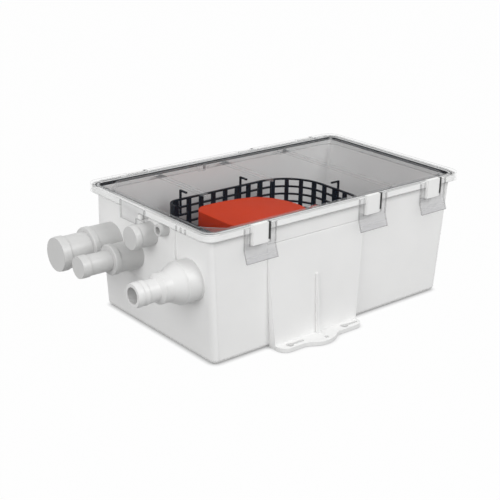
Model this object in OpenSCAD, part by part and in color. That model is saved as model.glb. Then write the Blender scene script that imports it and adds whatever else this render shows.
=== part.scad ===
// Shower sump pump: a drafted plastic box with side ports, a clear clip-down lid,
// a lift-out grid strainer and a submersible pump with its own float switch.
// X runs along the box with the ports at -X, Z is up, and the underside is at z = 0.

/* [Sump box] */
// Length of the box outline at its base
base_len = 296.4; // [290:0.2:320]
// Width of the box outline at its base
base_wid = 175.4; // [172:0.1:186]
// Height of the rim lip above the underside
rim_top = 127; // [124:0.5:140]
// Half of the length that the draft adds between base and rim
draft_x = 8.5; // [6:0.1:10]
// Half of the width that the draft adds between base and rim
draft_y = 1.4; // [0.8:0.1:3]
// Thickness of the box walls
wall = 2.8; // [2.2:0.1:3.2]
// Thickness of the box floor
floor_t = 3.2; // [2.6:0.1:4.2]
// Radius of the upright corners
corner_r = 6; // [5:0.5:9]
// Radius between the walls and the underside
base_edge_r = 4.5; // [4:0.5:5.5]
// Height where the raised port pad starts
pad_z = 54; // [46:1:55]
// Width coordinate where the raised port pad starts
pad_y = -40.4; // [-41:0.1:-38]

/* [Rim and lid] */
// How far the rim stands out from the wall
rim_over = 5.6; // [5:0.1:6.4]
// Height of the rim band
rim_h = 6; // [5.8:0.1:7]
// Width of the lip outside the gasket shelf
lip_w = 2.6; // [2.2:0.1:2.8]
// Depth of the gasket shelf below the lip
shelf_d = 3; // [2:0.1:4]
// Thickness of the lid panel
lid_t = 2; // [1.6:0.1:3]
// Thickness of the lid skirt and of the clips
skirt_t = 1.5; // [1.2:0.1:2]
// Gap between the lid skirt and the rim
skirt_gap = 0.35; // [0.35:0.05:0.6]
// Height of the lid skirt below the panel
skirt_h = 5.7; // [4:0.1:5.8]
// Width of the lid gasket
gasket_w = 4; // [3:0.1:4.4]
// Height of the locating ring under the lid panel
ring_h = 6; // [4:0.1:8]
// Thickness of the locating ring
ring_wall = 1.5; // [1.2:0.1:2.5]
// Gap between the locating ring and the box wall
ring_gap = 0.6; // [0.4:0.05:1.2]
// Chamfer of the locating ring at the port end
ring_chamfer = 18; // [14:0.5:22]
// Lengthwise places of the ribs under the lid panel
lid_rib_x = [-89, -7, 74];
// Width of a lid rib
lid_rib_w = 4.5; // [3:0.1:6]
// Height of a lid rib
lid_rib_h = 3; // [2:0.1:4]

/* [Clips] */
// Lengthwise places of the clips on each long side
clip_x = [-105, 35, 120.6];
// Width of a clip
clip_w = 36; // [34:0.5:38]
// Width of the window in a clip
clip_window = 23; // [21:0.5:25]
// Width of a catch block on the box
catch_w = 17; // [14:0.5:18]
// Depth of the underside of the catch blocks below the lip
catch_drop = 17.4; // [15:0.1:20]
// Depth of the lower edge of the clips below the lip
clip_drop = 32; // [28:0.5:34]
// How far the clip tongue flares out
clip_flare = 4; // [2:0.1:6]
// Width coordinates of the clip at the port end
end_clip_y = [-3.3, 35.4];
// Depth of the lower edge of the clip at the port end below the lip
end_clip_drop = 17.4; // [16:0.2:20]

/* [Feet] */
// Lengthwise places of the two ends of each foot
foot_x = [-83, 21];
// How far the feet reach from the middle of the box
foot_reach = 107.5; // [106:0.5:111]
// Thickness of a foot plate
foot_t = 4; // [3:0.1:6]
// Radius of the foot corners
foot_corner_r = 9; // [6:0.5:9]
// Lengthwise place of the middle of the bulge of each foot
bulge_x = -34; // [-38:0.5:-30]
// Radius of the bulge of each foot
bulge_r = 26; // [25:0.5:27]
// How far the bulge reaches from the middle of the box
bulge_reach = 115.5; // [114.5:0.5:117.5]
// Lengthwise places of the round ends of the keyholes
keyhole_x = [-70.3, -0.2];
// Distance of the keyholes from the outer edge of the foot
keyhole_inset = 5.9; // [5:0.1:6.5]
// Radius of the round end of a keyhole
keyhole_r = 3.6; // [3:0.1:4]
// Half width of the keyhole slot
keyhole_slot_r = 1.6; // [1.2:0.1:2]
// Length of the keyhole slot
keyhole_len = 16; // [12:0.5:16]
// Lengthwise place of the small hole in each foot
foot_hole_x = -30.4; // [-36:0.1:-26]
// Distance of the small hole from the outer edge of the bulge
foot_hole_inset = 6.5; // [5:0.1:8]
// Radius of the small hole in each foot
foot_hole_r = 2.2; // [1.6:0.1:2.6]

/* [Ports] */
// Place of the large inlet across and up
inlet_a = [60.4, 76.9];
// Place of the small inlet across and up
inlet_b = [21.2, 76.4];
// Place of the vent stub across and below the lip
vent_at = [-3.8, 23.5];
// Place of the cable outlet across and below the lip
cable_at = [-26.8, 12.4];
// Bore radius of the cable outlet
cable_bore_r = 3.4; // [2.6:0.1:3.8]
// Place of the pump outlet across and up
outlet = [-59.8, 75.9];
// Bore radius of the outlet hose tail
outlet_bore_r = 7.5; // [6:0.1:8]
// Outer radius of the barb rings on the outlet
outlet_barb_r = 11.3; // [10.9:0.1:12]
// How far the inlets reach from the middle of the box
inlet_reach = 219.1; // [212:0.5:226]
// How far the outlet reaches from the middle of the box
outlet_reach = 215.3; // [209:0.2:221]
// Wall thickness of the port tubes
port_wall = 3; // [2.4:0.1:3.6]

/* [Strainer] */
// Lengthwise places of the two ends of the strainer
fence_x = [-92.5, 79.6];
// Half width of the strainer
fence_y = 66.5; // [65.5:0.5:68]
// Depth of the top of the strainer below the lip
fence_drop = 24.6; // [21:0.2:29]
// Thickness of the strainer wall
fence_t = 2.4; // [2:0.1:2.5]
// Corner radius at the port end
fence_r_port = 15; // [14:0.5:17]
// Corner radius at the far end
fence_r_far = 45; // [42:0.5:48]
// Distance between two upright bars
bar_pitch = 15.6; // [15.2:0.05:15.9]
// Width of an upright bar
bar_w = 4.6; // [3.5:0.1:5.5]
// Distance between two rings
ring_pitch = 8.3; // [7.8:0.1:8.8]
// Height of a ring
ring_t = 1.7; // [1.3:0.1:2.2]
// Height of the lift hooks above the strainer
hook_rise = 8.6; // [7:0.1:11]

/* [Pump] */
// Lengthwise place of the motor axis
motor_x = -7.4; // [-8.4:0.2:-6.4]
// Half width of the pump housing, which is also its radius around the motor
pump_r = 35; // [34:0.2:35.4]
// Lengthwise place of the flat end of the pump housing
pump_end = -81; // [-83:0.5:-79]
// Corner radius at the flat end
pump_corner_r = 15; // [13:0.5:17]
// Depth of the top of the pump housing below the lip
pump_drop = 25; // [23:0.2:29]
// Radius of the crown along the pump housing
crown_r = 504; // [450:1:600]
// Thickness of the pump housing
pump_wall = 2.2; // [1.8:0.1:2.6]
// Height of the water inlet slots under the pump deck
inlet_gap = 6.8; // [6:0.1:8]
// Thickness of the pump deck
deck_t = 4; // [3:0.1:4.4]
// Height of the volute
volute_h = 18; // [18:0.2:19]
// Outer radius of the volute
volute_r = 29; // [28:0.1:30]
// Radius of the impeller
impeller_r = 22; // [20:0.2:24]
// Height between the motor can and the top of the pump housing
motor_head = 16; // [14:0.5:20]
// Outer radius of the motor can
can_r = 26; // [25:0.1:27]
// Radius of the motor shaft
shaft_r = 1.6; // [1.4:0.05:2]
// Radial running clearance of shafts and pins
run_gap = 0.05; // [0.03:0.01:0.08]
// Outer radius of the discharge hose
hose_r = 11.5; // [11:0.1:11.8]
// Bore radius of the discharge hose
hose_bore_r = 9.3; // [9:0.1:9.6]
// Bend radius of the discharge hose
hose_bend_r = 38; // [34:0.5:38]
// Angle that the discharge hose climbs at
hose_angle = 60; // [58:1:66]
// Radius of the two pump leads
lead_r = 1.2; // [1:0.05:1.3]

/* [Hidden] */
$fn = 64;

// Fit between parts of one assembly that push together
fit = 0.1;
// Clearance beyond a cut face, so that cuts pass right through
over = 1;
// Facets of the rounded box corners
corner_fn = 32;

box_white = [0.90, 0.90, 0.89];
port_white = [0.93, 0.93, 0.92];
lid_clear = [0.75, 0.79, 0.82, 0.45];
rubber_black = [0.08, 0.08, 0.08];
grid_black = [0.06, 0.06, 0.06];
pump_red = [0.80, 0.20, 0.06];
base_black = [0.10, 0.10, 0.11];
steel = [0.72, 0.73, 0.75];
brass = [0.78, 0.62, 0.32];
copper = [0.72, 0.42, 0.25];
hose_clear = [0.80, 0.80, 0.76];

// Half length and half width of the outside of the box at height z
function hx(z) = base_len / 2 + draft_x * z / rim_top;
function hy(z) = base_wid / 2 + draft_y * z / rim_top;

catch_z = rim_top - catch_drop;
clip_bottom = rim_top - clip_drop;
end_clip_bottom = rim_top - end_clip_drop;
vent = [vent_at[0], rim_top - vent_at[1]];
cable = [cable_at[0], rim_top - cable_at[1]];
fence_top = rim_top - fence_drop;
hook_top = fence_top + hook_rise;
pump_top = rim_top - pump_drop;

rim_hx = hx(rim_top) + rim_over;
rim_hy = hy(rim_top) + rim_over;
rim_r = corner_r + rim_over;
rim_z = rim_top - rim_h;
lid_hx = rim_hx + skirt_gap + skirt_t;
lid_hy = rim_hy + skirt_gap + skirt_t;
lid_r = rim_r + skirt_gap + skirt_t;
pad_x = hx(rim_top);
inner_r = corner_r - wall;
ring_hx = hx(rim_top - ring_h) - wall - ring_gap;
ring_hy = hy(rim_top - ring_h) - wall - ring_gap;

deck_z = floor_t + inlet_gap + deck_t;
motor_z = deck_z + volute_h;
can_top = pump_top - motor_head;
can_h = can_top - motor_z;
volute_wall = 2.5;
stub_r = 7.5;
socket_r = stub_r + 2.1;
duct_z = deck_z + socket_r + 0.2;
duct_x = motor_x + volute_r - 10;
duct_bore_r = 6;

outlet_in = hx(outlet[1]) - wall - 1.5;
outlet_out = hx(outlet[1]) + 1.5;
outlet_thread_r = 13;
outlet_seal_t = 1.5;
outlet_flange_t = 3;
tail_tip = outlet_in - outlet_seal_t - outlet_flange_t - 16.5;

// Solids of revolution and prisms along each axis

// Children stand on local +Z, which points out of the port end
module outward(y, z) {
    translate([0, y, z]) rotate([0, -90, 0]) children();
}

// A turned piece at a port, from points of radius and distance from the middle of the box
module turned_port(place, points) {
    outward(place[0], place[1]) rotate_extrude() polygon(points);
}

// A drawing of Y and Z pushed along X
module prism_x(x0, len) {
    translate([x0, 0, 0]) rotate([90, 0, 90]) linear_extrude(len) children();
}

// A drawing of X and Z pushed along -Y from y1
module prism_y(y1, len) {
    translate([0, y1, 0]) rotate([90, 0, 0]) linear_extrude(len) children();
}

module ring(r_out, r_in, h) {
    difference() {
        cylinder(r = r_out, h = h);
        translate([0, 0, -over]) cylinder(r = r_in, h = h + 2 * over);
    }
}

module round_rect(ax, ay, r) {
    square([2 * ax, 2 * (ay - r)], center = true);
    square([2 * (ax - r), 2 * ay], center = true);
    for (sx = [-1, 1], sy = [-1, 1])
        translate([sx * (ax - r), sy * (ay - r)]) circle(r);
}

// The drafted block of the box, inset by its wall for the cavity
module drafted_block(inset, z0, z1, r, edge) {
    steps = 4;
    slice = 0.01;
    hull() {
        for (k = [0:steps]) {
            a = 90 * k / steps;
            z = z0 + edge * (1 - cos(a));
            corner_discs(inset, z, r, r - edge * (1 - sin(a)));
        }
        corner_discs(inset, z1 - slice, r, r);
    }
}

module outer_block() drafted_block(0, 0, rim_z, corner_r, base_edge_r);
module cavity() drafted_block(wall, floor_t, rim_top + over, inner_r, base_edge_r - wall);

module corner_discs(inset, z, r, disc_r) {
    for (sx = [-1, 1], sy = [-1, 1])
        translate([sx * (hx(z) - inset - r), sy * (hy(z) - inset - r), z])
            cylinder(r = disc_r, h = 0.01, $fn = corner_fn);
}

// Sump box

buttress_top = rim_top - 23;
buttress_foot = hy(0) + 8.3;
gusset_x = bulge_x + 3;
gusset_t = 2.8;
gusset_top = 63;
gusset_reach = foot_reach - 7.5;
keyhole_y = foot_reach - keyhole_inset;
gusset_root = hy(0) + 5.6;
screw_places = [[pump_end + 13, 25], [pump_end + 13, -25], [motor_x + 42, 0]];
screw_r = 1.8;
screw_boss_r = 4.5;

module side_buttress() {
    intersection() {
        prism_x(foot_x[0] - 20, foot_x[1] - foot_x[0] + 60)
            polygon([
                [-(hy(0) - base_edge_r), 0], [-buttress_foot, 0],
                [-hy(buttress_top) + 0.05, buttress_top], [-(hy(0) - base_edge_r), buttress_top]
            ]);
        prism_y(over, buttress_foot + 2 * over)
            polygon([
                [foot_x[0], 0], [foot_x[1], 0],
                [foot_x[1] + 11.4, buttress_top], [foot_x[0] - 8, buttress_top]
            ]);
    }
}

module gusset() {
    prism_x(gusset_x - gusset_t / 2, gusset_t)
        polygon([
            [-hy(0), foot_t / 2], [-gusset_reach, foot_t / 2],
            [-gusset_root, gusset_top], [-hy(0), gusset_top]
        ]);
}

// Outline of a foot: a straight plate with round corners, a bulge and two fillets beside it
module foot_outline() {
    cy = bulge_reach - bulge_r;
    fr = 12;
    dx = sqrt(pow(bulge_r + fr, 2) - pow(foot_reach + fr - cy, 2));
    tx = dx * bulge_r / (bulge_r + fr);
    ty = cy + (foot_reach + fr - cy) * bulge_r / (bulge_r + fr);
    root_y = hy(0) - base_edge_r;
    translate([foot_x[0], root_y])
        square([foot_x[1] - foot_x[0], foot_reach - foot_corner_r - root_y]);
    translate([foot_x[0] + foot_corner_r, root_y])
        square([foot_x[1] - foot_x[0] - 2 * foot_corner_r, foot_reach - root_y]);
    for (x = [foot_x[0] + foot_corner_r, foot_x[1] - foot_corner_r])
        translate([x, foot_reach - foot_corner_r]) circle(foot_corner_r);
    translate([bulge_x, cy]) circle(bulge_r);
    difference() {
        polygon([
            [bulge_x - dx, foot_reach - over], [bulge_x - dx, foot_reach], [bulge_x - tx, ty],
            [bulge_x + tx, ty], [bulge_x + dx, foot_reach], [bulge_x + dx, foot_reach - over]
        ]);
        for (s = [-1, 1]) translate([bulge_x + s * dx, foot_reach + fr]) circle(fr);
    }
}

module foot_plate() {
    mirror([0, 1, 0]) linear_extrude(foot_t) difference() {
        foot_outline();
        for (x = keyhole_x) {
            translate([x, keyhole_y]) circle(keyhole_r);
            translate([x, keyhole_y - keyhole_slot_r]) square([keyhole_len, 2 * keyhole_slot_r]);
            translate([x + keyhole_len, keyhole_y]) circle(keyhole_slot_r);
        }
        translate([foot_hole_x, bulge_reach - foot_hole_inset]) circle(foot_hole_r);
    }
}

// The two feet, each with its buttress and gusset, on the outside of the drafted walls
module feet() color(box_white) for (s = [0, 1]) mirror([0, s, 0]) difference() {
    union() {
        side_buttress();
        gusset();
        foot_plate();
    }
    outer_block();
}

module catch_block(x) {
    root = hy(catch_z) - wall / 2;
    translate([x - catch_w / 2, -(lid_hy + skirt_gap), catch_z])
        cube([catch_w, lid_hy + skirt_gap - root, rim_top - catch_z]);
    translate([x - catch_w / 2, -(lid_hy + skirt_gap), rim_top - over])
        cube([catch_w, lid_hy + skirt_gap - (rim_hy - lip_w + 0.7), over + lid_t - 0.5]);
}

end_catch_y = end_clip_y[0] + 3;
end_catch_w = 5;
end_catch_z = rim_top - 9.8;
end_catch_h = 3.4;

module end_catch() {
    translate([-(lid_hx + 1.2), end_catch_y, end_catch_z])
        cube([lid_hx + 1.2 - pad_x + wall / 2, end_catch_w, end_catch_h]);
}

module port_pad() {
    translate([0, 0, pad_z]) linear_extrude(rim_z - pad_z) intersection() {
        round_rect(pad_x, hy(rim_top) - 0.2, corner_r);
        translate([-pad_x - over, pad_y]) square([over + pad_x - hx(0) + wall, hy(rim_top) - pad_y]);
    }
}

// Hole in the wall for a moulded stub: its spigot's recess and its bore
module stub_hole(place, spigot_r, bore_r) {
    outward(place[0], place[1]) {
        translate([0, 0, pad_x - spigot_len - fit]) cylinder(r = spigot_r + fit, h = 10);
        translate([0, 0, pad_x - 20]) cylinder(r = bore_r, h = 30);
    }
}

// The rim of the box: a flange with a shelf for the gasket, and the catch blocks of the clips
module box_rim() color(box_white) difference() {
    union() {
        translate([0, 0, rim_z]) linear_extrude(rim_h) round_rect(rim_hx, rim_hy, rim_r);
        for (s = [0, 1], x = clip_x) mirror([0, s, 0]) catch_block(x);
    }
    outer_block();
    cavity();
    translate([0, 0, rim_top - shelf_d]) linear_extrude(shelf_d + over)
        round_rect(rim_hx - lip_w, rim_hy - lip_w, rim_r - lip_w);
}

// The floor of the box with the bosses that carry the pump
module box_floor() color(box_white) difference() {
    union() {
        intersection() {
            outer_block();
            translate([-base_len, -base_wid, 0]) cube([2 * base_len, 2 * base_wid, floor_t]);
        }
        for (p = screw_places) translate([p[0], p[1], floor_t / 2])
            cylinder(r = screw_boss_r, h = floor_t / 2 + inlet_gap);
    }
    for (p = screw_places) translate([p[0], p[1], floor_t])
        cylinder(r = screw_r + fit, h = inlet_gap + over);
}

module box_walls() difference() {
    union() {
        difference() {
            union() {
                outer_block();
                port_pad();
                end_catch();
                outward(outlet[0], outlet[1]) cylinder(r = collar_r, h = outlet_out);
            }
            cavity();
            translate([-base_len, -base_wid, -over]) cube([2 * base_len, 2 * base_wid, floor_t + over]);
        }
        outward(outlet[0], outlet[1]) translate([0, 0, outlet_in])
            cylinder(r = collar_r, h = outlet_out - outlet_in);
    }
    outward(outlet[0], outlet[1]) translate([0, 0, outlet_in - over])
        cylinder(r = outlet_thread_r + fit, h = outlet_out - outlet_in + 2 * over);
    stub_hole(inlet_a, inlet_a_r - port_wall + 1, inlet_a_r - port_wall);
    stub_hole(inlet_b, inlet_b_r - port_wall + 1, inlet_b_r - port_wall);
    stub_hole(vent, vent_r - port_wall + 1, vent_r - port_wall);
    stub_hole(cable, cable_bore_r + 1.6, cable_bore_r);
}

// The length of the box between its upright corners, which the side walls fill
module between_corners()
    prism_y(hy(rim_top) + over, 2 * (hy(rim_top) + over)) polygon([
        [-(hx(0) - corner_r), 0], [hx(0) - corner_r, 0],
        [hx(rim_top) - corner_r, rim_top], [-(hx(rim_top) - corner_r), rim_top]
    ]);

module box_sides() color(box_white) intersection() {
    box_walls();
    between_corners();
}

module box_ends() color(box_white) difference() {
    box_walls();
    between_corners();
}

// Inlet stubs, vent and cable outlet

spigot_len = 2.4;
inlet_a_r = 18.9;
inlet_b_r = 13.8;
vent_r = 11.2;
cable_r = 6.1;
port_end = 2.5;

// A stepped stub with a closed end: a wide barb, then a narrow one
module stepped_stub(place, r1, ring1_r, r2, ring2_r, tip_r) {
    step = inlet_reach - 31.7;
    turned_port(place, [
        [r1 - port_wall, pad_x - spigot_len], [r1 - port_wall + 1, pad_x - spigot_len],
        [r1 - port_wall + 1, pad_x], [r1, pad_x], [r1, step - 6.5], [ring1_r, step - 5.5],
        [ring1_r, step - 1], [ring1_r - 0.8, step], [r2, step], [r2, inlet_reach - 9],
        [ring2_r, inlet_reach - 8.2], [ring2_r, inlet_reach - 3], [tip_r, inlet_reach],
        [0, inlet_reach], [0, inlet_reach - port_end], [r2 - port_wall, inlet_reach - port_end],
        [r2 - port_wall, step - port_wall], [r1 - port_wall, step - port_wall - 2]
    ]);
}

module inlet_stub_large() color(port_white) stepped_stub(inlet_a, inlet_a_r, 19.6, 15.6, 16.6, 16.1);

module inlet_stub_small() color(port_white) stepped_stub(inlet_b, inlet_b_r, 14.6, 9.8, 10.6, 10.3);

vent_reach = pad_x + 23.1;
cap_rear = pad_x + 16.6;
cap_bore_r = 9.7;

module vent_stub() color(port_white) turned_port(vent, [
    [vent_r - port_wall, pad_x - spigot_len], [vent_r - port_wall + 1, pad_x - spigot_len],
    [vent_r - port_wall + 1, pad_x], [vent_r, pad_x], [vent_r, cap_rear - 0.3],
    [cap_bore_r - 0.08, cap_rear - 0.3], [cap_bore_r - 0.08, vent_reach - port_end - 0.3],
    [vent_r - port_wall, vent_reach - port_end - 0.3]
]);

module vent_cap() color(port_white) turned_port(vent, [
    [cap_bore_r, cap_rear], [vent_r + 0.1, cap_rear], [vent_r + 0.4, cap_rear + 0.8],
    [vent_r + 0.4, vent_reach - 2], [vent_r - 0.4, vent_reach], [0, vent_reach],
    [0, vent_reach - port_end], [cap_bore_r, vent_reach - port_end]
]);

module cable_gland() color(port_white) turned_port(cable, [
    [cable_bore_r, pad_x - spigot_len], [cable_bore_r + 1.6, pad_x - spigot_len],
    [cable_bore_r + 1.6, pad_x], [cable_r, pad_x], [cable_r, pad_x + 6], [cable_r - 0.6, pad_x + 8.9],
    [cable_bore_r, pad_x + 8.9]
]);

cable_seal_r = cable_at[1] - ring_h - 0.3;
cable_seal_t = 2.9;

module cable_seal() color(rubber_black)
    outward(cable[0], cable[1])
        translate([0, 0, hx(cable[1] - cable_seal_r) - wall - 0.3 - cable_seal_t])
            ring(cable_seal_r, cable_bore_r, cable_seal_t);

// Outlet with its check valve

collar_r = 19.8;
collar_len = 15;
valve_rear = outlet_out + collar_len;
valve_len = 18.3;
valve_r = 14;
chamber_r = 11.4;
seat_t = 3.3;
pin_r = 0.8;
pin_up = 9.2;
flap_r = 8.8;
flap_t = 1.6;
flap_x = valve_rear + seat_t + fit;

module outlet_collar() color(port_white) turned_port(outlet, [
    [outlet_thread_r + fit, outlet_out], [collar_r, outlet_out], [collar_r, valve_rear - 1.2],
    [collar_r - 0.8, valve_rear], [outlet_thread_r + fit, valve_rear]
]);

module check_valve_body() color(port_white) difference() {
    turned_port(outlet, [
        [outlet_bore_r, valve_rear], [collar_r - 0.8, valve_rear], [valve_r, valve_rear + 11],
        [valve_r, valve_rear + valve_len], [chamber_r, valve_rear + valve_len],
        [chamber_r, valve_rear + seat_t], [outlet_bore_r, valve_rear + seat_t]
    ]);
    pin_place() rotate([90, 0, 0]) cylinder(r = pin_r + run_gap, h = 15.6, center = true);
}

module pin_place() {
    translate([-(flap_x + 1.8), outlet[0], outlet[1] + pin_up]) children();
}

module flap_pin() color(steel) pin_place() rotate([90, 0, 0]) cylinder(r = pin_r, h = 14.8, center = true);

module check_flap() color(rubber_black) difference() {
    union() {
        outward(outlet[0], outlet[1]) translate([0, 0, flap_x]) cylinder(r = flap_r, h = flap_t);
        pin_place() rotate([90, 0, 0]) cylinder(r = pin_r + 0.7, h = 5, center = true);
    }
    pin_place() rotate([90, 0, 0]) cylinder(r = pin_r + 1.5 * run_gap, h = 20, center = true);
}

module outlet_barb() color(port_white) {
    root = valve_rear + valve_len;
    turned_port(outlet, [
        [outlet_bore_r, root - 2.3], [chamber_r - fit, root - 2.3], [chamber_r - fit, root], [14.1, root],
        [14.1, root + 1.6], [10.5, root + 4.2], [10.5, outlet_reach - 12.4],
        [outlet_barb_r, outlet_reach - 11.4], [outlet_barb_r, outlet_reach - 9.6],
        [10.7, outlet_reach - 7.2], [outlet_barb_r, outlet_reach - 6], [outlet_barb_r, outlet_reach - 2.6],
        [10.5, outlet_reach], [outlet_bore_r, outlet_reach]
    ]);
}

module outlet_seal() color(rubber_black)
    outward(outlet[0], outlet[1]) translate([0, 0, outlet_in - outlet_seal_t])
        ring(18, outlet_thread_r + 2 * fit, outlet_seal_t);

module outlet_tail() color(port_white) {
    flange = outlet_in - outlet_seal_t;
    turned_port(outlet, [
        [duct_bore_r, tail_tip], [hose_bore_r - 0.6, tail_tip], [hose_bore_r - fit, tail_tip + 3],
        [hose_bore_r - 0.7, tail_tip + 3], [hose_bore_r - 0.7, tail_tip + 7],
        [hose_bore_r - fit, tail_tip + 10], [hose_bore_r - 0.7, tail_tip + 10],
        [hose_bore_r - 0.7, flange - outlet_flange_t], [18, flange - outlet_flange_t], [18, flange],
        [outlet_thread_r, flange], [outlet_thread_r, valve_rear], [outlet_bore_r, valve_rear],
        [outlet_bore_r, flange - outlet_flange_t]
    ]);
}

// Discharge hose: a straight run beside the pump, then an S up to the outlet

hose_y = -50;
elbow_r = -hose_y - 34.5;
elbow_x = duct_x - elbow_r;
hose_tilt = atan2(hose_y - outlet[0], outlet[1] - duct_z);
hose_rise = sqrt(pow(outlet[0] - hose_y, 2) + pow(outlet[1] - duct_z, 2));
hose_mid = (hose_rise - 2 * hose_bend_r * (1 - cos(hose_angle))) / sin(hose_angle);
hose_run = 2 * hose_bend_r * sin(hose_angle) + hose_mid * cos(hose_angle);
hose_start = elbow_x - 6.5;
hose_turn = hose_run - (tail_tip - over);
hose_last = 15.5;

// The straight lengths are a hair wider than the bends and reach a little way into them
module hose_path(r, extra) {
    a = hose_angle;
    br = hose_bend_r;
    lap = 0.4;
    sr = r + 0.05;
    translate([hose_turn, hose_y, duct_z]) {
        translate([-lap, 0, 0]) rotate([0, 90, 0])
            cylinder(r = sr, h = hose_start - hose_turn + extra + lap);
        rotate([hose_tilt, 0, 0]) {
            translate([0, 0, br]) rotate([90, 0, 0]) rotate([0, 0, -90 - a])
                rotate_extrude(angle = a) translate([br, 0]) circle(r);
            translate([-br * sin(a), 0, br * (1 - cos(a))]) rotate([0, a - 90, 0])
                translate([0, 0, -lap]) cylinder(r = sr, h = hose_mid + 2 * lap);
            translate([-2 * br * sin(a) - hose_mid * cos(a), 0, br * (1 - 2 * cos(a)) + hose_mid * sin(a)])
                rotate([90, 0, 0]) rotate([0, 0, 90 - a])
                    rotate_extrude(angle = a) translate([br, 0]) circle(r);
        }
    }
    outward(outlet[0], outlet[1]) translate([0, 0, -(hose_turn - hose_run + lap)])
        cylinder(r = sr, h = hose_last + extra + lap);
}

module discharge_hose() color(hose_clear) difference() {
    hose_path(hose_r, 0);
    hose_path(hose_bore_r, over);
}

clamp_w = 8;
clamp_t = 0.9;

module clamp_place() {
    translate([elbow_x - 14, hose_y, duct_z]) rotate([0, -90, 0]) rotate([0, 0, 90]) children();
    outward(outlet[0], outlet[1]) translate([0, 0, tail_tip + 2.5]) rotate([0, 0, 90]) children();
}

module hose_clamps() color(steel) clamp_place() {
    ring(hose_r + fit + clamp_t, hose_r + fit, clamp_w);
}

module clamp_screws() color(steel) clamp_place() {
    translate([-5, -hose_r - fit - clamp_t - 4.2, 1]) cube([10, 4, clamp_w - 2]);
}

module discharge_elbow() color(base_black) difference() {
    union() {
        translate([duct_x, -34.5, duct_z]) rotate([-90, 0, 0]) cylinder(r = socket_r, h = 4);
        translate([elbow_x, -34.5, duct_z]) rotate([0, 0, -90])
            rotate_extrude(angle = 90) translate([elbow_r, 0]) circle(hose_bore_r - 0.7);
        translate([elbow_x, hose_y, duct_z]) rotate([0, -90, 0]) {
            cylinder(r = hose_bore_r - 0.7, h = 22.5);
            for (u = [10, 18]) translate([0, 0, u])
                cylinder(r1 = hose_bore_r - fit, r2 = hose_bore_r - 0.6, h = 3);
        }
    }
    translate([duct_x, -34.5, duct_z]) rotate([-90, 0, 0]) cylinder(r = stub_r + fit, h = 4 + over);
    translate([elbow_x, -34.5, duct_z]) rotate([0, 0, -90])
        rotate_extrude(angle = 90) translate([elbow_r, 0]) circle(duct_bore_r);
    translate([elbow_x, hose_y, duct_z]) rotate([0, -90, 0]) cylinder(r = duct_bore_r, h = 24);
}

// Pump

// Plan of the pump: round around the motor and flat with rounded corners at the other end
module pump_plan(grow) {
    cr = pump_corner_r + grow;
    translate([motor_x, 0]) circle(pump_r + grow);
    translate([pump_end + pump_corner_r, -pump_r - grow])
        square([motor_x - pump_end - pump_corner_r, 2 * (pump_r + grow)]);
    translate([pump_end - grow, -pump_r + pump_corner_r])
        square([pump_corner_r + grow + over, 2 * (pump_r - pump_corner_r)]);
    for (s = [-1, 1]) translate([pump_end + pump_corner_r, s * (pump_r - pump_corner_r)]) circle(cr);
}

base_lip = 1.5;
base_slot_w = 3.6;
base_slot_pitch = 8;
base_eye_r = 11.5;
base_ear_w = 3.5;
pivot_boss_r = 3;
float_x = pump_end + 7;
float_size = [28, 36, 14];
float_hole = [float_size[0], float_size[1] - 4];
arm_y = float_size[1] / 2 - 2.5;
arm_t = 4;
pivot = [float_x + float_size[0] + 6, 0, deck_z + 10];
float_pin_r = 1.45;
float_pin_len = 2 * arm_y + 13;
magnet_r = 4;
magnet_t = 3;
magnet_x = float_x + 10;

module pump_base() color(base_black) difference() {
    union() {
        translate([0, 0, floor_t + inlet_gap]) linear_extrude(deck_t) pump_plan(base_lip);
        translate([0, 0, floor_t]) linear_extrude(inlet_gap + over) difference() {
            pump_plan(base_lip);
            pump_plan(-1);
        }
        translate([screw_places[2][0], screw_places[2][1], floor_t + inlet_gap])
            cylinder(r = screw_boss_r, h = deck_t);
        translate([motor_x + pump_r - 4, -screw_boss_r, floor_t + inlet_gap])
            cube([screw_places[2][0] - motor_x - pump_r + 4, 2 * screw_boss_r, deck_t]);
        for (s = [-1, 1]) translate([pivot[0] - pivot_boss_r, s * (arm_y + 5) - base_ear_w / 2, deck_z - over])
            cube([2 * pivot_boss_r, base_ear_w, pivot[2] - deck_z + over + pivot_boss_r + 0.5]);
    }
    for (x = [pump_end + 11:base_slot_pitch:motor_x + 21]) translate([x, -2 * pump_r, floor_t - over])
        cube([base_slot_w, 4 * pump_r, inlet_gap + over - 1.2]);
    translate([motor_x, 0, floor_t]) cylinder(r = base_eye_r, h = inlet_gap + deck_t + over);
    translate([float_x, -float_hole[1] / 2, floor_t])
        cube([float_hole[0], float_hole[1], inlet_gap + deck_t + over]);
    for (p = screw_places) translate([p[0], p[1], floor_t])
        cylinder(r = screw_r + 3 * fit, h = inlet_gap + deck_t + over);
    for (p = [screw_places[2]]) translate([p[0], p[1], floor_t - over])
        cylinder(r = screw_boss_r + 0.3, h = inlet_gap + over);
    translate(pivot) rotate([90, 0, 0])
        cylinder(r = float_pin_r + run_gap, h = 2 * pump_r, center = true);
}

module base_screws() color(steel) for (p = screw_places) translate([p[0], p[1], 0]) {
    translate([0, 0, floor_t + 0.8]) cylinder(r = screw_r, h = deck_z - floor_t - 0.8);
    difference() {
        translate([0, 0, deck_z]) cylinder(r = 3.4, h = 2.2);
        translate([-2.6, -0.5, deck_z + 1.2]) cube([5.2, 1, 2]);
        translate([-0.5, -2.6, deck_z + 1.2]) cube([1, 5.2, 2]);
    }
}

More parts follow.
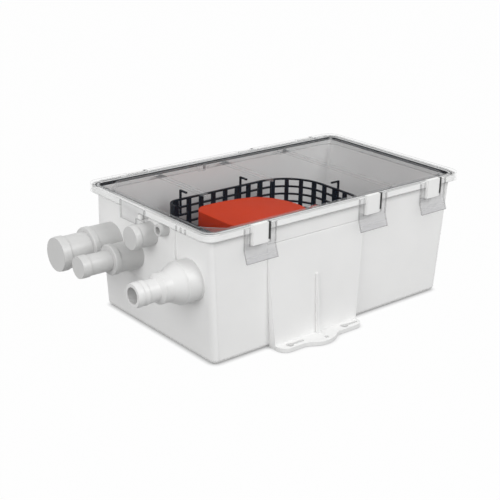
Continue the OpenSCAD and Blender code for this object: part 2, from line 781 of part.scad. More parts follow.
module volute() color(base_black) difference() {
    union() {
        translate([motor_x, 0, deck_z]) cylinder(r = volute_r, h = volute_h);
        translate([duct_x, 0, duct_z]) rotate([90, 0, 0]) cylinder(r = stub_r, h = 34.4);
    }
    translate([motor_x, 0, deck_z + volute_wall])
        cylinder(r = volute_r - volute_wall, h = volute_h - 2 * volute_wall);
    translate([duct_x, 0, duct_z]) rotate([90, 0, 0]) cylinder(r = duct_bore_r, h = 40);
    translate([motor_x, 0, deck_z - over]) cylinder(r = 10.5, h = volute_wall + 2 * over);
    translate([motor_x, 0, motor_z - volute_wall - over]) cylinder(r = 4.6, h = volute_wall + 2 * over);
}

impeller_z = deck_z + volute_wall + 0.7;
impeller_h = volute_h - 2 * volute_wall - 1.7;

module impeller() color(port_white) translate([motor_x, 0, impeller_z]) difference() {
    union() {
        cylinder(r = 4.8, h = impeller_h);
        translate([0, 0, impeller_h - 1.8]) cylinder(r = impeller_r, h = 1.8);
        intersection() {
            for (k = [0:4]) rotate([0, 0, 72 * k]) translate([3.5, 0, 0]) rotate([0, 0, 28])
                cube([impeller_r, 1.6, impeller_h - 1]);
            cylinder(r = impeller_r - 0.3, h = impeller_h);
        }
    }
    translate([0, 0, 1.5]) cylinder(r = shaft_r + 0.02, h = impeller_h);
}

module motor_shaft() color(steel) translate([motor_x, 0, impeller_z + 1.6])
    cylinder(r = shaft_r, h = can_top + 2.5 - impeller_z - 1.6);

module shaft_seal() color(rubber_black) translate([motor_x, 0, motor_z - volute_wall])
    ring(4.5, shaft_r + run_gap, volute_wall);

module lower_bearing() color(brass) translate([motor_x, 0, motor_z]) ring(5, shaft_r + run_gap, 5);

module motor_can() color(steel) translate([motor_x, 0, motor_z]) difference() {
    cylinder(r = can_r, h = can_h);
    translate([0, 0, 1.4]) cylinder(r = can_r - 1.4, h = can_h);
    translate([0, 0, -over]) cylinder(r = 5 + fit, h = 5);
}

rotor_z = motor_z + 10;
rotor_h = can_h - 24;
rotor_r = can_r - 7.4;

module motor_rotor() color(copper) translate([motor_x, 0, rotor_z]) difference() {
    cylinder(r = rotor_r, h = rotor_h);
    for (k = [0:6]) rotate([0, 0, k * 360 / 7]) translate([rotor_r, 0, -over])
        cylinder(r = 2.2, h = rotor_h + 2 * over);
    translate([0, 0, -over]) cylinder(r = shaft_r + 0.02, h = rotor_h + 2 * over);
}

module motor_magnets() color(rubber_black) translate([motor_x, 0, rotor_z - 2]) difference() {
    ring(can_r - 1.5, rotor_r + 1, rotor_h + 4);
    for (s = [0, 1]) rotate([0, 0, 90 + 180 * s]) translate([0, -6, -over])
        cube([can_r, 12, rotor_h + 4 + 2 * over]);
}

commutator_z = rotor_z + rotor_h + 2;
brush_gap = 0.3;

module commutator() color(copper) translate([motor_x, 0, commutator_z]) ring(6, shaft_r + 0.02, 6);

module brushes() color(rubber_black) for (s = [0, 1])
    translate([motor_x, 0, commutator_z + 1]) rotate([0, 0, 180 * s])
        translate([6 + brush_gap, -2, 0]) cube([9, 4, 4]);

module end_bell() color(base_black) translate([motor_x, 0, 0]) difference() {
    union() {
        translate([0, 0, can_top - 4]) cylinder(r = can_r - 1.5, h = 4);
        translate([0, 0, can_top - over]) cylinder(r = 8, h = 4 + over);
        for (s = [0, 1]) rotate([0, 0, 180 * s]) translate([9, -4, commutator_z])
            cube([7, 8, can_top - 4 - commutator_z + over]);
    }
    for (s = [0, 1]) rotate([0, 0, 180 * s]) translate([9 - over, -2 - fit, commutator_z + 1 - fit])
        cube([9, 4 + 2 * fit, 4 + 2 * fit]);
    translate([0, 0, can_top - 2]) cylinder(r = 5 + run_gap, h = 10);
    translate([0, 0, can_top - 10]) cylinder(r = 2.5, h = 12);
}

module upper_bearing() color(brass) translate([motor_x, 0, can_top - 2]) ring(5, shaft_r + run_gap, 5.5);

// Crown of the pump: a very wide cylinder that lies across the box
crown_x = -60;

module crown(drop) {
    translate([crown_x, 0, pump_top - crown_r]) rotate([90, 0, 0])
        cylinder(r = crown_r - drop, h = 4 * pump_r, center = true, $fn = 720);
}

module pump_body(grow, z0, drop) {
    intersection() {
        translate([0, 0, z0]) linear_extrude(pump_top - z0 + over) pump_plan(grow);
        crown(drop);
    }
}

switch_z = deck_z + 38;
switch_size = [22, 30, 14];
switch_shelf_t = 2;
gland_y = -8;
gland_z = pump_top - 14;
gland_r = 3.8;

module pump_housing() color(pump_red) {
    difference() {
        pump_body(0, deck_z, 0);
        pump_body(-pump_wall, deck_z - over, pump_wall);
        translate([duct_x - socket_r - 0.4, -pump_r - over, deck_z - over])
            cube([2 * socket_r + 0.8, pump_r, duct_z - deck_z + over]);
        translate([duct_x, 0, duct_z]) rotate([90, 0, 0]) cylinder(r = socket_r + 0.4, h = pump_r + over);
        translate([motor_x, gland_y, gland_z]) rotate([0, 90, 0])
            cylinder(r = gland_r + fit, h = pump_r + over);
    }
    for (s = [-1, 1])
        translate([pump_end + pump_wall / 2, s * switch_size[1] / 3 - 1.5, switch_z - switch_shelf_t])
            cube([switch_size[0] + 2, 3, switch_shelf_t]);
}

module switch_module() color(base_black) difference() {
    translate([pump_end + pump_wall + 0.3, -switch_size[1] / 2, switch_z]) cube(switch_size);
    translate([pump_end + pump_wall + 4, -switch_size[1] / 2 + 4, switch_z + switch_size[2] - 2])
        cube([switch_size[0] - 8, switch_size[1] - 8, 2 + over]);
}

// Float of the switch: a hollow-looking block on two arms

arm_x = float_x + float_size[0] - over;
magnet_z = deck_z + 3 + float_size[2] - magnet_t;

module float() color(port_white) difference() {
    union() {
        translate([float_x, -float_size[1] / 2, deck_z + 3]) cube(float_size);
        for (s = [-1, 1]) {
            translate([arm_x, s * arm_y - arm_t / 2, pivot[2] - pivot_boss_r])
                cube([pivot[0] - arm_x, arm_t, 2 * pivot_boss_r]);
            translate([pivot[0], s * arm_y, pivot[2]]) rotate([90, 0, 0])
                cylinder(r = pivot_boss_r, h = arm_t, center = true);
        }
    }
    translate([pivot[0], 0, pivot[2]]) rotate([90, 0, 0])
        cylinder(r = float_pin_r + 1.5 * run_gap, h = 2 * pump_r, center = true);
    translate([magnet_x, 0, magnet_z]) cylinder(r = magnet_r + fit, h = magnet_t + over);
}

module float_magnet() color(steel) translate([magnet_x, 0, magnet_z]) cylinder(r = magnet_r, h = magnet_t);

module float_pin() color(steel) translate(pivot) rotate([90, 0, 0])
    cylinder(r = float_pin_r, h = float_pin_len, center = true);

// Leads of the pump

gland_face = motor_x + pump_r + 7;
connector_gap = 6.06;
connector_z = rim_top - 35;
connector = [-(hx(connector_z) - wall - connector_gap), -19, connector_z];
connector_size = [11, 14, 11];
wall_clip_z = connector[2] - 24;
lead_run_y = fence_y - 14;
lead_clip_x = [motor_x - 1, motor_x - 29];

module lead_gland() color(base_black) translate([0, gland_y, gland_z]) rotate([0, 90, 0]) {
    translate([0, 0, motor_x + pump_r - 5]) cylinder(r = gland_r, h = gland_face - motor_x - pump_r + 5);
    translate([0, 0, motor_x + pump_r + 0.4]) cylinder(r = gland_r + 1.7, h = 2.4);
}

// Middle of the lead pair, from the gland down to the floor, round the pump and up the end wall
lead_route = [
    [gland_face, gland_y, gland_z], [41, -8, gland_z + 3], [49, -9, gland_z + 2],
    [55, -9, gland_z - 8], [57, -8, 60], [58, -4, 30],
    [58, 8, 9], [53, 28, 5], [38, 46, 5], [2, lead_run_y, 5],
    [-46, lead_run_y, 5], [-82, 44, 5],
    [-107, 36, 5], [connector[0] + 12.5, 16, 7], [connector[0] + 1.5, -8, 28],
    [connector[0], -18, 60], connector
];
// Direction from the middle of the pair to each lead, at each point of the route
lead_side = [
    [0, 1, 0], [0, 1, 0], [0, 1, 0], [0, 1, 0], [0, 1, 0], [0.4, 0.9, 0],
    [1, 0.1, 0], [0.9, 0.4, 0], [0.5, 0.85, 0], [0, 1, 0], [0, 1, 0], [-0.25, 0.95, 0],
    [-0.4, 0.9, 0], [-0.8, 0.6, 0], [-1, 0.1, 0], [-1, 0, 0], [-1, 0, 0]
];
lead_gap = 1.5;
lead_steps = 2;
lead_sides = 8;

function bend(a, b, c, d, t) =
    0.5 * (2 * b + (c - a) * t + (2 * a - 5 * b + 4 * c - d) * t * t + (3 * b - a - 3 * c + d) * t * t * t);

// A curve that passes through every point of a list
function through(p) = [
    for (i = [0:len(p) - 2]) for (k = [0:lead_steps - 1])
        bend(p[max(i - 1, 0)], p[i], p[i + 1], p[min(i + 2, len(p) - 1)], k / lead_steps),
    p[len(p) - 1]
];

function unit(v) = v / norm(v);

function heading(p, i) =
    i == 0 ? [1, 0, 0] : i == len(p) - 1 ? [0, 0, 1] : unit(p[i + 1] - p[i - 1]);

function ring_points(p, side, i, r) =
    let (t = heading(p, i), u = unit(side[i] - (side[i] * t) * t), v = cross(t, u))
    [for (k = [0:lead_sides - 1]) p[i] + r * (cos(45 * k + 22.5) * u + sin(45 * k + 22.5) * v)];

module lead(s) {
    mid = through(lead_route);
    side = through(lead_side);
    path = [for (i = [0:len(mid) - 1]) mid[i] + s * lead_gap * unit(side[i])];
    n = lead_sides;
    m = len(path);
    points = [for (i = [0:m - 1]) each ring_points(path, side, i, lead_r)];
    faces = concat(
        [[for (k = [0:n - 1]) k]],
        [for (i = [0:m - 2], k = [0:n - 1])
            each [[i * n + k, (i + 1) * n + k, i * n + (k + 1) % n],
                  [i * n + (k + 1) % n, (i + 1) * n + k, (i + 1) * n + (k + 1) % n]]],
        [[for (k = [n - 1:-1:0]) (m - 1) * n + k]]
    );
    polyhedron(points, faces);
}

module lead_red() color(pump_red) lead(1);

module lead_white() color(port_white) lead(-1);

module lead_clips() color(base_black) {
    for (x = lead_clip_x) translate([x, lead_run_y, floor_t]) difference() {
        translate([-3, -6.5, 0]) cube([6, 13, 5]);
        translate([-3 - over, -4.2, -over]) cube([6 + 2 * over, 8.4, over + 3.8]);
    }
    translate([connector[0], connector[1] + 0.4, wall_clip_z]) difference() {
        translate([-(hx(wall_clip_z) - wall - 0.3 + connector[0]), -3.5, 0]) cube([9.5, 7, 6]);
        translate([-3.1, -2.1, -over]) cube([6.2, 4.2, 6 + 2 * over]);
    }
}

module lead_connector() color(base_black)
    translate([-(hx(connector[2]) - wall - 0.3), connector[1] - connector_size[1] / 2, connector[2]])
        cube(connector_size);

// Strainer

fence_bottom = floor_t + 0.3;
door_top = outlet[1] + 7;
fence_low = door_top + 9;
door = [[fence_x[0] - 2.5, -fence_y - over], [20, 29]];
mouse_hole = [[fence_x[0] - 2.5, 31], [6, 17]];
low_rows = 8;
first_bar = fence_x[1] - fence_r_far - 3.4;
first_port_bar = fence_r_port + 25 - fence_y;
end_pitch = bar_pitch - 0.45;
corner_window = bar_pitch - bar_w;

module fence_plan(inset) {
    rp = fence_r_port;
    rf = fence_r_far;
    translate([fence_x[0] + rp, -fence_y + inset])
        square([fence_x[1] - rf - fence_x[0] - rp, 2 * (fence_y - inset)]);
    translate([fence_x[0] + inset, -fence_y + rp]) square([rp, 2 * (fence_y - rp)]);
    translate([fence_x[1] - rf - over, -fence_y + rf]) square([rf + over - inset, 2 * (fence_y - rf)]);
    for (s = [-1, 1]) {
        translate([fence_x[0] + rp, s * (fence_y - rp)]) circle(rp - inset);
        translate([fence_x[1] - rf, s * (fence_y - rf)]) circle(rf - inset);
    }
}

// One upright row of windows of width w, from row first down to the tall slot at the bottom
module window_column(w, first) {
    for (j = [first:low_rows - 1])
        translate([-w / 2, fence_top - (j + 1) * ring_pitch]) square([w, ring_pitch - ring_t]);
    translate([-w / 2, floor_t + 8]) square([w, fence_top - low_rows * ring_pitch - ring_t - floor_t - 8]);
}

// A window column that faces out from a corner of the strainer
module corner_windows(cx, cy, r, a, w) {
    translate([cx, cy, 0]) rotate([0, 0, a])
        prism_x(r - fence_t - 1.5, fence_t + 3) window_column(w, 0);
}

module fence() difference() {
    translate([0, 0, fence_bottom]) linear_extrude(fence_top - fence_bottom) difference() {
        fence_plan(0);
        fence_plan(fence_t);
    }
    prism_y(fence_y + over, 2 * (fence_y + over)) for (i = [0:6])
        translate([first_bar - bar_pitch * (i + 0.5), 0]) window_column(bar_pitch - bar_w, 0);
    prism_x(fence_x[1] - 6, 8) for (k = [-1.5:1.5])
        translate([k * end_pitch, 0]) window_column(end_pitch - bar_w, 0);
    for (s = [-1, 1], a = [22, 42, 62, 83])
        corner_windows(fence_x[1] - fence_r_far, s * (fence_y - fence_r_far), fence_r_far, s * a,
            corner_window);
    corner_windows(fence_x[0] + fence_r_port, fence_y - fence_r_port, fence_r_port, 135,
        corner_window - 2.5);
    prism_x(fence_x[0] - over, 6) for (k = [0:3])
        translate([first_port_bar + k * (bar_pitch + 0.4), 0]) window_column(bar_pitch - bar_w, 2);
    translate([fence_x[0] - over, -fence_y - over, fence_low])
        cube([fence_r_port + over, 2 * fence_y - 18 + over, hook_top]);
    translate([door[0][0], door[0][1], 0]) cube([door[1][0], door[1][1], door_top]);
    translate([mouse_hole[0][0], mouse_hole[0][1], 0]) cube([mouse_hole[1][0], mouse_hole[1][1], 13]);
}

// The part of the fence between two lengthwise and two crosswise places
module fence_part(x0, x1, y0, y1) color(grid_black) intersection() {
    fence();
    translate([x0, y0, 0]) cube([x1 - x0, y1 - y0, hook_top]);
}

// Seams across the box, through upright bars
seam_port = fence_x[0] + fence_r_port;
seam_far = fence_x[1] - fence_r_far - 2.5;
past = 2 * fence_y;

module strainer_port_end() fence_part(-past, seam_port, -past, past);
module strainer_sides() fence_part(seam_port, seam_far, -past, past);
module strainer_far_end() fence_part(seam_far, past, -past, past);

// L-shaped hooks on the outside of the strainer, for lifting it out
hook_x = [fence_x[0] + 21, fence_x[1] - 73.4];
hook_root = 19;
hook_w = 2;
hook_t = 1.6;
hook_reach = 9.5;

module hook() {
    translate([-hook_w / 2, 0, fence_top - hook_root]) cube([hook_w, hook_t, hook_rise + hook_root]);
    translate([-hook_w / 2, -hook_reach, hook_top - hook_t]) cube([hook_w, hook_reach + hook_t, hook_t]);
}

module strainer_hooks() color(grid_black) {
    for (s = [0, 1], x = hook_x) mirror([0, s, 0]) translate([x, fence_y, 0]) hook();
    translate([fence_x[1], -3, 0]) rotate([0, 0, -90]) hook();
}

// Lid

module lid_ring_plan(inset) {
    ax = ring_hx - inset;
    ay = ring_hy - inset;
    c = ring_chamfer - inset * (2 - sqrt(2));
    intersection() {
        round_rect(ax, ay, 14 - inset);
        polygon([[-ax, -ay + c], [-ax + c, -ay], [ax + over, -ay - over], [ax + over, ay + over],
            [-ax + c, ay], [-ax, ay - c]]);
    }
    polygon([[-ax, -ay + c], [-ax + c, -ay], [0, -ay], [0, ay], [-ax + c, ay], [-ax, ay - c]]);
}

lid_rib_start = 2.5;
lid_pad_x = [-34, 77];
lid_pad_w = 8;
finger_rib_y = [-53, -59.5, -66];
finger_rib_w = 1.6;

module lid_ribs() {
    for (x = [lid_rib_x[0], lid_rib_x[1]])
        translate([x - lid_rib_w / 2, lid_rib_start, rim_top - lid_rib_h])
            cube([lid_rib_w, ring_hy - 1 - lid_rib_start, lid_rib_h + over]);
    translate([lid_rib_x[2] - lid_rib_w / 2, -ring_hy + 1, rim_top - lid_rib_h])
        cube([lid_rib_w, 2 * ring_hy - 2, lid_rib_h + over]);
    for (s = [-1, 1], x = lid_pad_x)
        translate([x - lid_pad_w / 2, s * (ring_hy - 3) - 2, rim_top - ring_h])
            cube([lid_pad_w, 4, ring_h + over]);
    for (y = finger_rib_y)
        translate([-lid_hx - 0.5, y - finger_rib_w / 2, rim_top - skirt_h + 0.6])
            cube([1, finger_rib_w, skirt_h - 1.2]);
}

module lid() color(lid_clear) difference() {
    union() {
        translate([0, 0, rim_top]) linear_extrude(lid_t) round_rect(lid_hx, lid_hy, lid_r);
        translate([0, 0, rim_top - skirt_h]) linear_extrude(skirt_h + over) difference() {
            round_rect(lid_hx, lid_hy, lid_r);
            round_rect(lid_hx - skirt_t, lid_hy - skirt_t, lid_r - skirt_t);
        }
        translate([0, 0, rim_top - ring_h]) linear_extrude(ring_h + over) difference() {
            lid_ring_plan(0);
            lid_ring_plan(ring_wall);
        }
        lid_ribs();
    }
    for (s = [0, 1], x = clip_x) mirror([0, s, 0]) {
        translate([x - clip_w / 2 - 0.3, -lid_hy - over, rim_top - skirt_h - over])
            cube([clip_w + 0.6, skirt_t + over + 0.1, skirt_h + over]);
        translate([x - clip_window / 2, -lid_hy - over, rim_top - over])
            cube([clip_window, over + lid_hy - (rim_hy - lip_w + 0.4), lid_t + 2 * over]);
    }
    translate([-lid_hx - over, end_clip_y[0] - 0.3, rim_top - skirt_h - over])
        cube([skirt_t + over + 0.1, end_clip_y[1] - end_clip_y[0] + 0.6, skirt_h + over]);
}

module lid_gasket() color(rubber_black)
        translate([0, 0, rim_top - shelf_d]) linear_extrude(shelf_d) difference() {
    outer = lip_w + 0.35;
    inner = outer + gasket_w;
    round_rect(rim_hx - outer, rim_hy - outer, rim_r - outer);
    round_rect(rim_hx - inner, rim_hy - inner, rim_r - inner);
}

// Clips, which bend outwards about their round root under the edge of the lid

clip_root_z = rim_top - 1.1;
clip_bar_top = catch_z - 0.3;

module side_clip(x) {
    o = lid_hy;
    t = skirt_t;
    difference() {
        union() {
            prism_x(x - clip_w / 2, clip_w) polygon([
                [-o, clip_root_z], [-o, catch_z - 3], [-o - clip_flare, clip_bottom],
                [-o - clip_flare + t, clip_bottom], [-o + t, catch_z - 3], [-o + t, clip_root_z]
            ]);
            translate([x - clip_w / 2, -o + t / 2, clip_root_z]) rotate([0, 90, 0])
                cylinder(r = t / 2, h = clip_w);
        }
        translate([x - clip_window / 2, -o - over, clip_bar_top])
            cube([clip_window, t + 2 * over, rim_top - clip_bar_top]);
    }
}

module clip_front_left() color(lid_clear) side_clip(clip_x[0]);
module clip_front_middle() color(lid_clear) side_clip(clip_x[1]);
module clip_front_right() color(lid_clear) side_clip(clip_x[2]);
module clip_back_left() color(lid_clear) mirror([0, 1, 0]) side_clip(clip_x[0]);
module clip_back_middle() color(lid_clear) mirror([0, 1, 0]) side_clip(clip_x[1]);
module clip_back_right() color(lid_clear) mirror([0, 1, 0]) side_clip(clip_x[2]);

module clip_port_end() color(lid_clear) difference() {
    y0 = end_clip_y[0];
    y1 = end_clip_y[1];
    step = vent[0] + vent_r + 2.3;
    low = end_catch_z - 2;
    union() {
        prism_x(-lid_hx, skirt_t) polygon([
            [y1, end_clip_bottom], [y1, clip_root_z], [y0, clip_root_z], [y0, low], [step, low],
            [step, end_clip_bottom]
        ]);
        translate([-lid_hx + skirt_t / 2, y1, clip_root_z]) rotate([90, 0, 0])
            cylinder(r = skirt_t / 2, h = y1 - y0);
    }
    translate([-lid_hx - over, end_catch_y - 0.4, end_catch_z - 0.4])
        cube([skirt_t + 2 * over, end_catch_w + 0.8, end_catch_h + 1]);
}

box_floor();
box_sides();
box_ends();
box_rim();
feet();
inlet_stub_large();
inlet_stub_small();
vent_stub();
vent_cap();
cable_gland();
cable_seal();
outlet_collar();
check_valve_body();
check_flap();
flap_pin();
outlet_barb();
outlet_seal();
outlet_tail();
discharge_hose();
hose_clamps();
clamp_screws();
discharge_elbow();
pump_base();
base_screws();
volute();
impeller();
motor_shaft();
motor_rotor();
commutator();
shaft_seal();
lower_bearing();
upper_bearing();
motor_can();
motor_magnets();
end_bell();
brushes();
pump_housing();
float();
float_magnet();
float_pin();
switch_module();
lead_gland();
lead_red();
lead_white();
lead_clips();
lead_connector();
strainer_sides();
strainer_port_end();
strainer_far_end();
strainer_hooks();
lid();
lid_gasket();
clip_front_left();
clip_front_middle();
clip_front_right();
clip_back_left();
clip_back_middle();
clip_back_right();
clip_port_end();
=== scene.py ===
import math

import bmesh
import bpy
from bpy.props import (
    FloatProperty, FloatVectorProperty, PointerProperty,
)
from mathutils import Matrix, Vector


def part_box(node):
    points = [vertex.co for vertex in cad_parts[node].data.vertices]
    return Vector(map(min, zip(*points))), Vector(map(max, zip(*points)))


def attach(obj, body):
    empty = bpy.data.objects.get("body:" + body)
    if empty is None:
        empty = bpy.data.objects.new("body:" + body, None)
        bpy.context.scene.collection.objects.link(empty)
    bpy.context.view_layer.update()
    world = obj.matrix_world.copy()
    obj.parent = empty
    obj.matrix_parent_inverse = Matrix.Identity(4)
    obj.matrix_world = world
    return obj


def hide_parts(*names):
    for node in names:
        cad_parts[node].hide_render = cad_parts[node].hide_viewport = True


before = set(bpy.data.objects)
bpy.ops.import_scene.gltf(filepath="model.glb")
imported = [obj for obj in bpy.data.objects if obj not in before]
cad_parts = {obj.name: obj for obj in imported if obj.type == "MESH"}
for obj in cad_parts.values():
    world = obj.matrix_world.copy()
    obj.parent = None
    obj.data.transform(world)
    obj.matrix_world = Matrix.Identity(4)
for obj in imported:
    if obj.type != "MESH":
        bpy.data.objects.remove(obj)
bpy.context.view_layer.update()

bl_info = {
    "name": "Shower sump pump",
    "version": (1, 0, 0),
    "blender": (4, 5, 0),
    "location": "View3D > Sidebar > Sump pump",
    "description": "Dresses the packed shower sump pump with materials, small parts and a stage",
    "category": "Object",
}

MM = 0.001
WHITE = (1, 1, 1, 1)


# Sizes and colours a user may change

class SumpViewSettings(bpy.types.PropertyGroup):
    """Where the camera stands and how it looks at the pump."""

    azimuth: FloatProperty(
        name="Azimuth", description="Direction the camera looks from, about the vertical",
        default=math.radians(-40.234), subtype="ANGLE", unit="ROTATION")
    elevation: FloatProperty(
        name="Elevation", description="Height of the camera above the horizon",
        default=math.radians(20.755), subtype="ANGLE", unit="ROTATION")
    roll: FloatProperty(
        name="Roll", description="Tilt of the camera about its own line of sight",
        default=math.radians(1.377), subtype="ANGLE", unit="ROTATION")
    distance: FloatProperty(
        name="Distance", description="Distance from the camera to the point it looks at",
        default=1.059, subtype="DISTANCE", unit="LENGTH")
    aim: FloatVectorProperty(
        name="Aim", description="Point that the camera looks at",
        default=(-0.0349, 0.0005, 0.0585), subtype="XYZ", unit="LENGTH")
    lens: FloatProperty(
        name="Lens", description="Focal length on a sensor 36 mm wide", default=76.63, min=10)


class SumpColourSettings(bpy.types.PropertyGroup):
    """Colours of the pump's plastics, rubbers and metals."""

    box: FloatVectorProperty(
        name="Box", description="Colour of the sump box", size=3, min=0, max=1,
        default=(0.87, 0.87, 0.865), subtype="COLOR")
    # Darker than the box though the stubs and cap are the same white plastic: painted shade.
    ports: FloatVectorProperty(
        name="Ports", description="Colour of the stubs and the cap", size=3, min=0, max=1,
        default=(0.61, 0.61, 0.605), subtype="COLOR")
    # Darker than the box though the outlet's pieces are the same white plastic: painted shade.
    outlet_line: FloatVectorProperty(
        name="Outlet line", description="Colour of the outlet's pieces", size=3, min=0, max=1,
        default=(0.73, 0.73, 0.725), subtype="COLOR")
    # Darker than the box though the feet are the same white plastic: painted shade.
    feet: FloatVectorProperty(
        name="Feet", description="Colour of the feet and their buttresses", size=3, min=0, max=1,
        default=(0.825, 0.825, 0.82), subtype="COLOR")
    # The near-black tint dims all that is seen through the clear lid: painted shade inside the box.
    lid: FloatVectorProperty(
        name="Lid", description="Tint of the clear lid", size=3, min=0, max=1,
        default=(0.020, 0.034, 0.055), subtype="COLOR")
    lid_edge: FloatVectorProperty(
        name="Lid edge", description="Tint of the lid's clear edge", size=3, min=0, max=1,
        default=(0.86, 0.87, 0.87), subtype="COLOR")
    # The grey, thickest at each clip's tip, is painted reflection in the clear plastic.
    clips: FloatVectorProperty(
        name="Clips", description="Tint of the clear clips", size=3, min=0, max=1,
        default=(0.50, 0.50, 0.51), subtype="COLOR")
    pump: FloatVectorProperty(
        name="Pump", description="Colour of the pump housing", size=3, min=0, max=1,
        default=(0.76, 0.055, 0.006), subtype="COLOR")
    grid: FloatVectorProperty(
        name="Strainer", description="Colour of the strainer", size=3, min=0, max=1,
        default=(0.012, 0.011, 0.012), subtype="COLOR")
    black: FloatVectorProperty(
        name="Black plastic", description="Colour of the pump base and the fittings", size=3, min=0, max=1,
        default=(0.020, 0.020, 0.022), subtype="COLOR")
    rubber: FloatVectorProperty(
        name="Rubber", description="Colour of the seals and the gasket", size=3, min=0, max=1,
        default=(0.016, 0.016, 0.016), subtype="COLOR")
    hose: FloatVectorProperty(
        name="Hose", description="Colour of the discharge hose", size=3, min=0, max=1,
        default=(0.58, 0.57, 0.53), subtype="COLOR")
    red_lead: FloatVectorProperty(
        name="Red lead", description="Colour of the first pump lead", size=3, min=0, max=1,
        default=(0.50, 0.06, 0.04), subtype="COLOR")
    white_lead: FloatVectorProperty(
        name="White lead", description="Colour of the second pump lead", size=3, min=0, max=1,
        default=(0.66, 0.50, 0.47), subtype="COLOR")


class SumpLightSettings(bpy.types.PropertyGroup):
    """Strengths of the studio lights."""

    key_power: FloatProperty(
        name="Key", description="Power of the large light above the front",
        default=16.0, min=0, unit="POWER")
    fill_power: FloatProperty(
        name="Fill", description="Power of the light on the port end's side",
        default=12.0, min=0, unit="POWER")
    sky: FloatProperty(
        name="Sky", description="Brightness of the surroundings on the object", default=0.64, min=0)


# Node trees, of materials and of geometry nodes

def node(tree, kind, values=None, **settings):
    """A node with its settings made and its inputs linked or set."""
    made = tree.nodes.new(kind)
    for key, value in settings.items():
        setattr(made, key, value)
    for key, value in (values or {}).items():
        if isinstance(value, bpy.types.NodeSocket):
            tree.links.new(value, made.inputs[key])
        else:
            made.inputs[key].default_value = value
    return made


def arithmetic(tree, operation, first, second, **settings):
    """What an operation makes of two sockets or numbers."""
    return node(tree, "ShaderNodeMath", {0: first, 1: second}, operation=operation, **settings).outputs[0]


def vector_step(tree, operation, first, second=(0, 0, 0)):
    """The outputs of an operation on two vectors."""
    return node(tree, "ShaderNodeVectorMath", {0: first, 1: second}, operation=operation).outputs


def map_range(tree, value, ends):
    """A value carried from one range to another, by the named ends of both."""
    return node(tree, "ShaderNodeMapRange", {"Value": value, **ends}).outputs["Result"]


def colour_ramp(tree, factor, marks):
    """A colour that follows a factor through marks, each a position and a colour."""
    ramp = node(tree, "ShaderNodeValToRGB", {"Fac": factor})
    elements = ramp.color_ramp.elements
    for extra in range(len(marks) - len(elements)):
        elements.new(0.5)
    for element, (position, colour) in zip(elements, marks):
        element.position = position
        element.color = tuple(colour) + (1,)
    return ramp.outputs["Color"]


def object_place(tree):
    """The point's place in the object's own coordinates."""
    return node(tree, "ShaderNodeTexCoord").outputs["Object"]


def object_noise(tree, scale, detail=2.0, stretch=(1, 1, 1)):
    """Noise over the object's own coordinates, in cycles per metre."""
    place = node(tree, "ShaderNodeMapping", {"Vector": object_place(tree), "Scale": stretch})
    return node(tree, "ShaderNodeTexNoise", {
        "Vector": place.outputs["Vector"], "Scale": scale, "Detail": detail}).outputs["Fac"]


# Materials

def new_material(name):
    """A material with only a Principled shader and its output."""
    material = bpy.data.materials.new(name)
    material.use_nodes = True
    tree = material.node_tree
    tree.nodes.clear()
    shader = node(tree, "ShaderNodeBsdfPrincipled")
    node(tree, "ShaderNodeOutputMaterial", {"Surface": shader.outputs["BSDF"]})
    return material, tree, shader


def vary_colour(tree, shader, colour, amount, scale):
    """Makes the base colour drift a little lighter and darker."""
    darker = tuple(c * (1 - amount) for c in colour)
    lighter = tuple(min(1, c * (1 + amount)) for c in colour)
    drifting = colour_ramp(tree, object_noise(tree, scale), ((0.3, darker), (0.7, lighter)))
    tree.links.new(drifting, shader.inputs["Base Color"])


def vary_roughness(tree, shader, low, high, scale, stretch=(1, 1, 1)):
    """Makes the roughness drift between two values."""
    noise = object_noise(tree, scale, 3.0, stretch)
    tree.links.new(map_range(tree, noise, {"To Min": low, "To Max": high}), shader.inputs["Roughness"])


def add_bump(tree, shader, height, depth, strength, edge=0.0):
    """Makes a height between 0 and 1 bump of a depth in metres, and softens edges to a radius."""
    bump = node(tree, "ShaderNodeBump", {"Height": height, "Distance": depth, "Strength": strength})
    if edge:
        soft = node(tree, "ShaderNodeBevel", {"Radius": edge}, samples=4)
        tree.links.new(soft.outputs["Normal"], bump.inputs["Normal"])
    tree.links.new(bump.outputs["Normal"], shader.inputs["Normal"])


def moulded_plastic(name, colour, roughness, grain=1600, drift=0.02, gloss=0.5):
    """Injection-moulded plastic: a fine spark texture and slow drifts in colour and gloss."""
    material, tree, shader = new_material(name)
    vary_colour(tree, shader, colour, drift, scale=18)
    vary_roughness(tree, shader, roughness - 0.05, roughness + 0.06, scale=45)
    shader.inputs["Specular IOR Level"].default_value = gloss
    texture = object_noise(tree, grain, detail=1.0)
    add_bump(tree, shader, texture, depth=0.04 * MM, strength=0.35, edge=0.5 * MM)
    return material


def add_rubber_grain(tree, shader):
    """The fine grain of moulded rubber."""
    add_bump(tree, shader, object_noise(tree, 2400), depth=0.05 * MM, strength=0.4)


def soft_rubber(name, colour):
    """Matt rubber with a bloom that dulls it in patches."""
    material, tree, shader = new_material(name)
    vary_colour(tree, shader, colour, amount=0.25, scale=60)
    vary_roughness(tree, shader, 0.55, 0.75, scale=120)
    add_rubber_grain(tree, shader)
    return material


def edge_distance(tree, half_x, half_y, radius):
    """How far a point lies inside the outline of a rectangle with round corners."""
    flat = vector_step(tree, "MULTIPLY", object_place(tree), (1, 1, 0))[0]
    across = vector_step(tree, "ABSOLUTE", flat)[0]
    past = vector_step(tree, "SUBTRACT", across, (half_x - radius, half_y - radius, 0))[0]
    outside = vector_step(tree, "LENGTH", vector_step(tree, "MAXIMUM", past)[0])["Value"]
    sides = node(tree, "ShaderNodeSeparateXYZ", {0: past}).outputs
    inside = arithmetic(tree, "MINIMUM", arithmetic(tree, "MAXIMUM", sides["X"], sides["Y"]), 0.0)
    return arithmetic(tree, "SUBTRACT", radius, arithmetic(tree, "ADD", outside, inside))


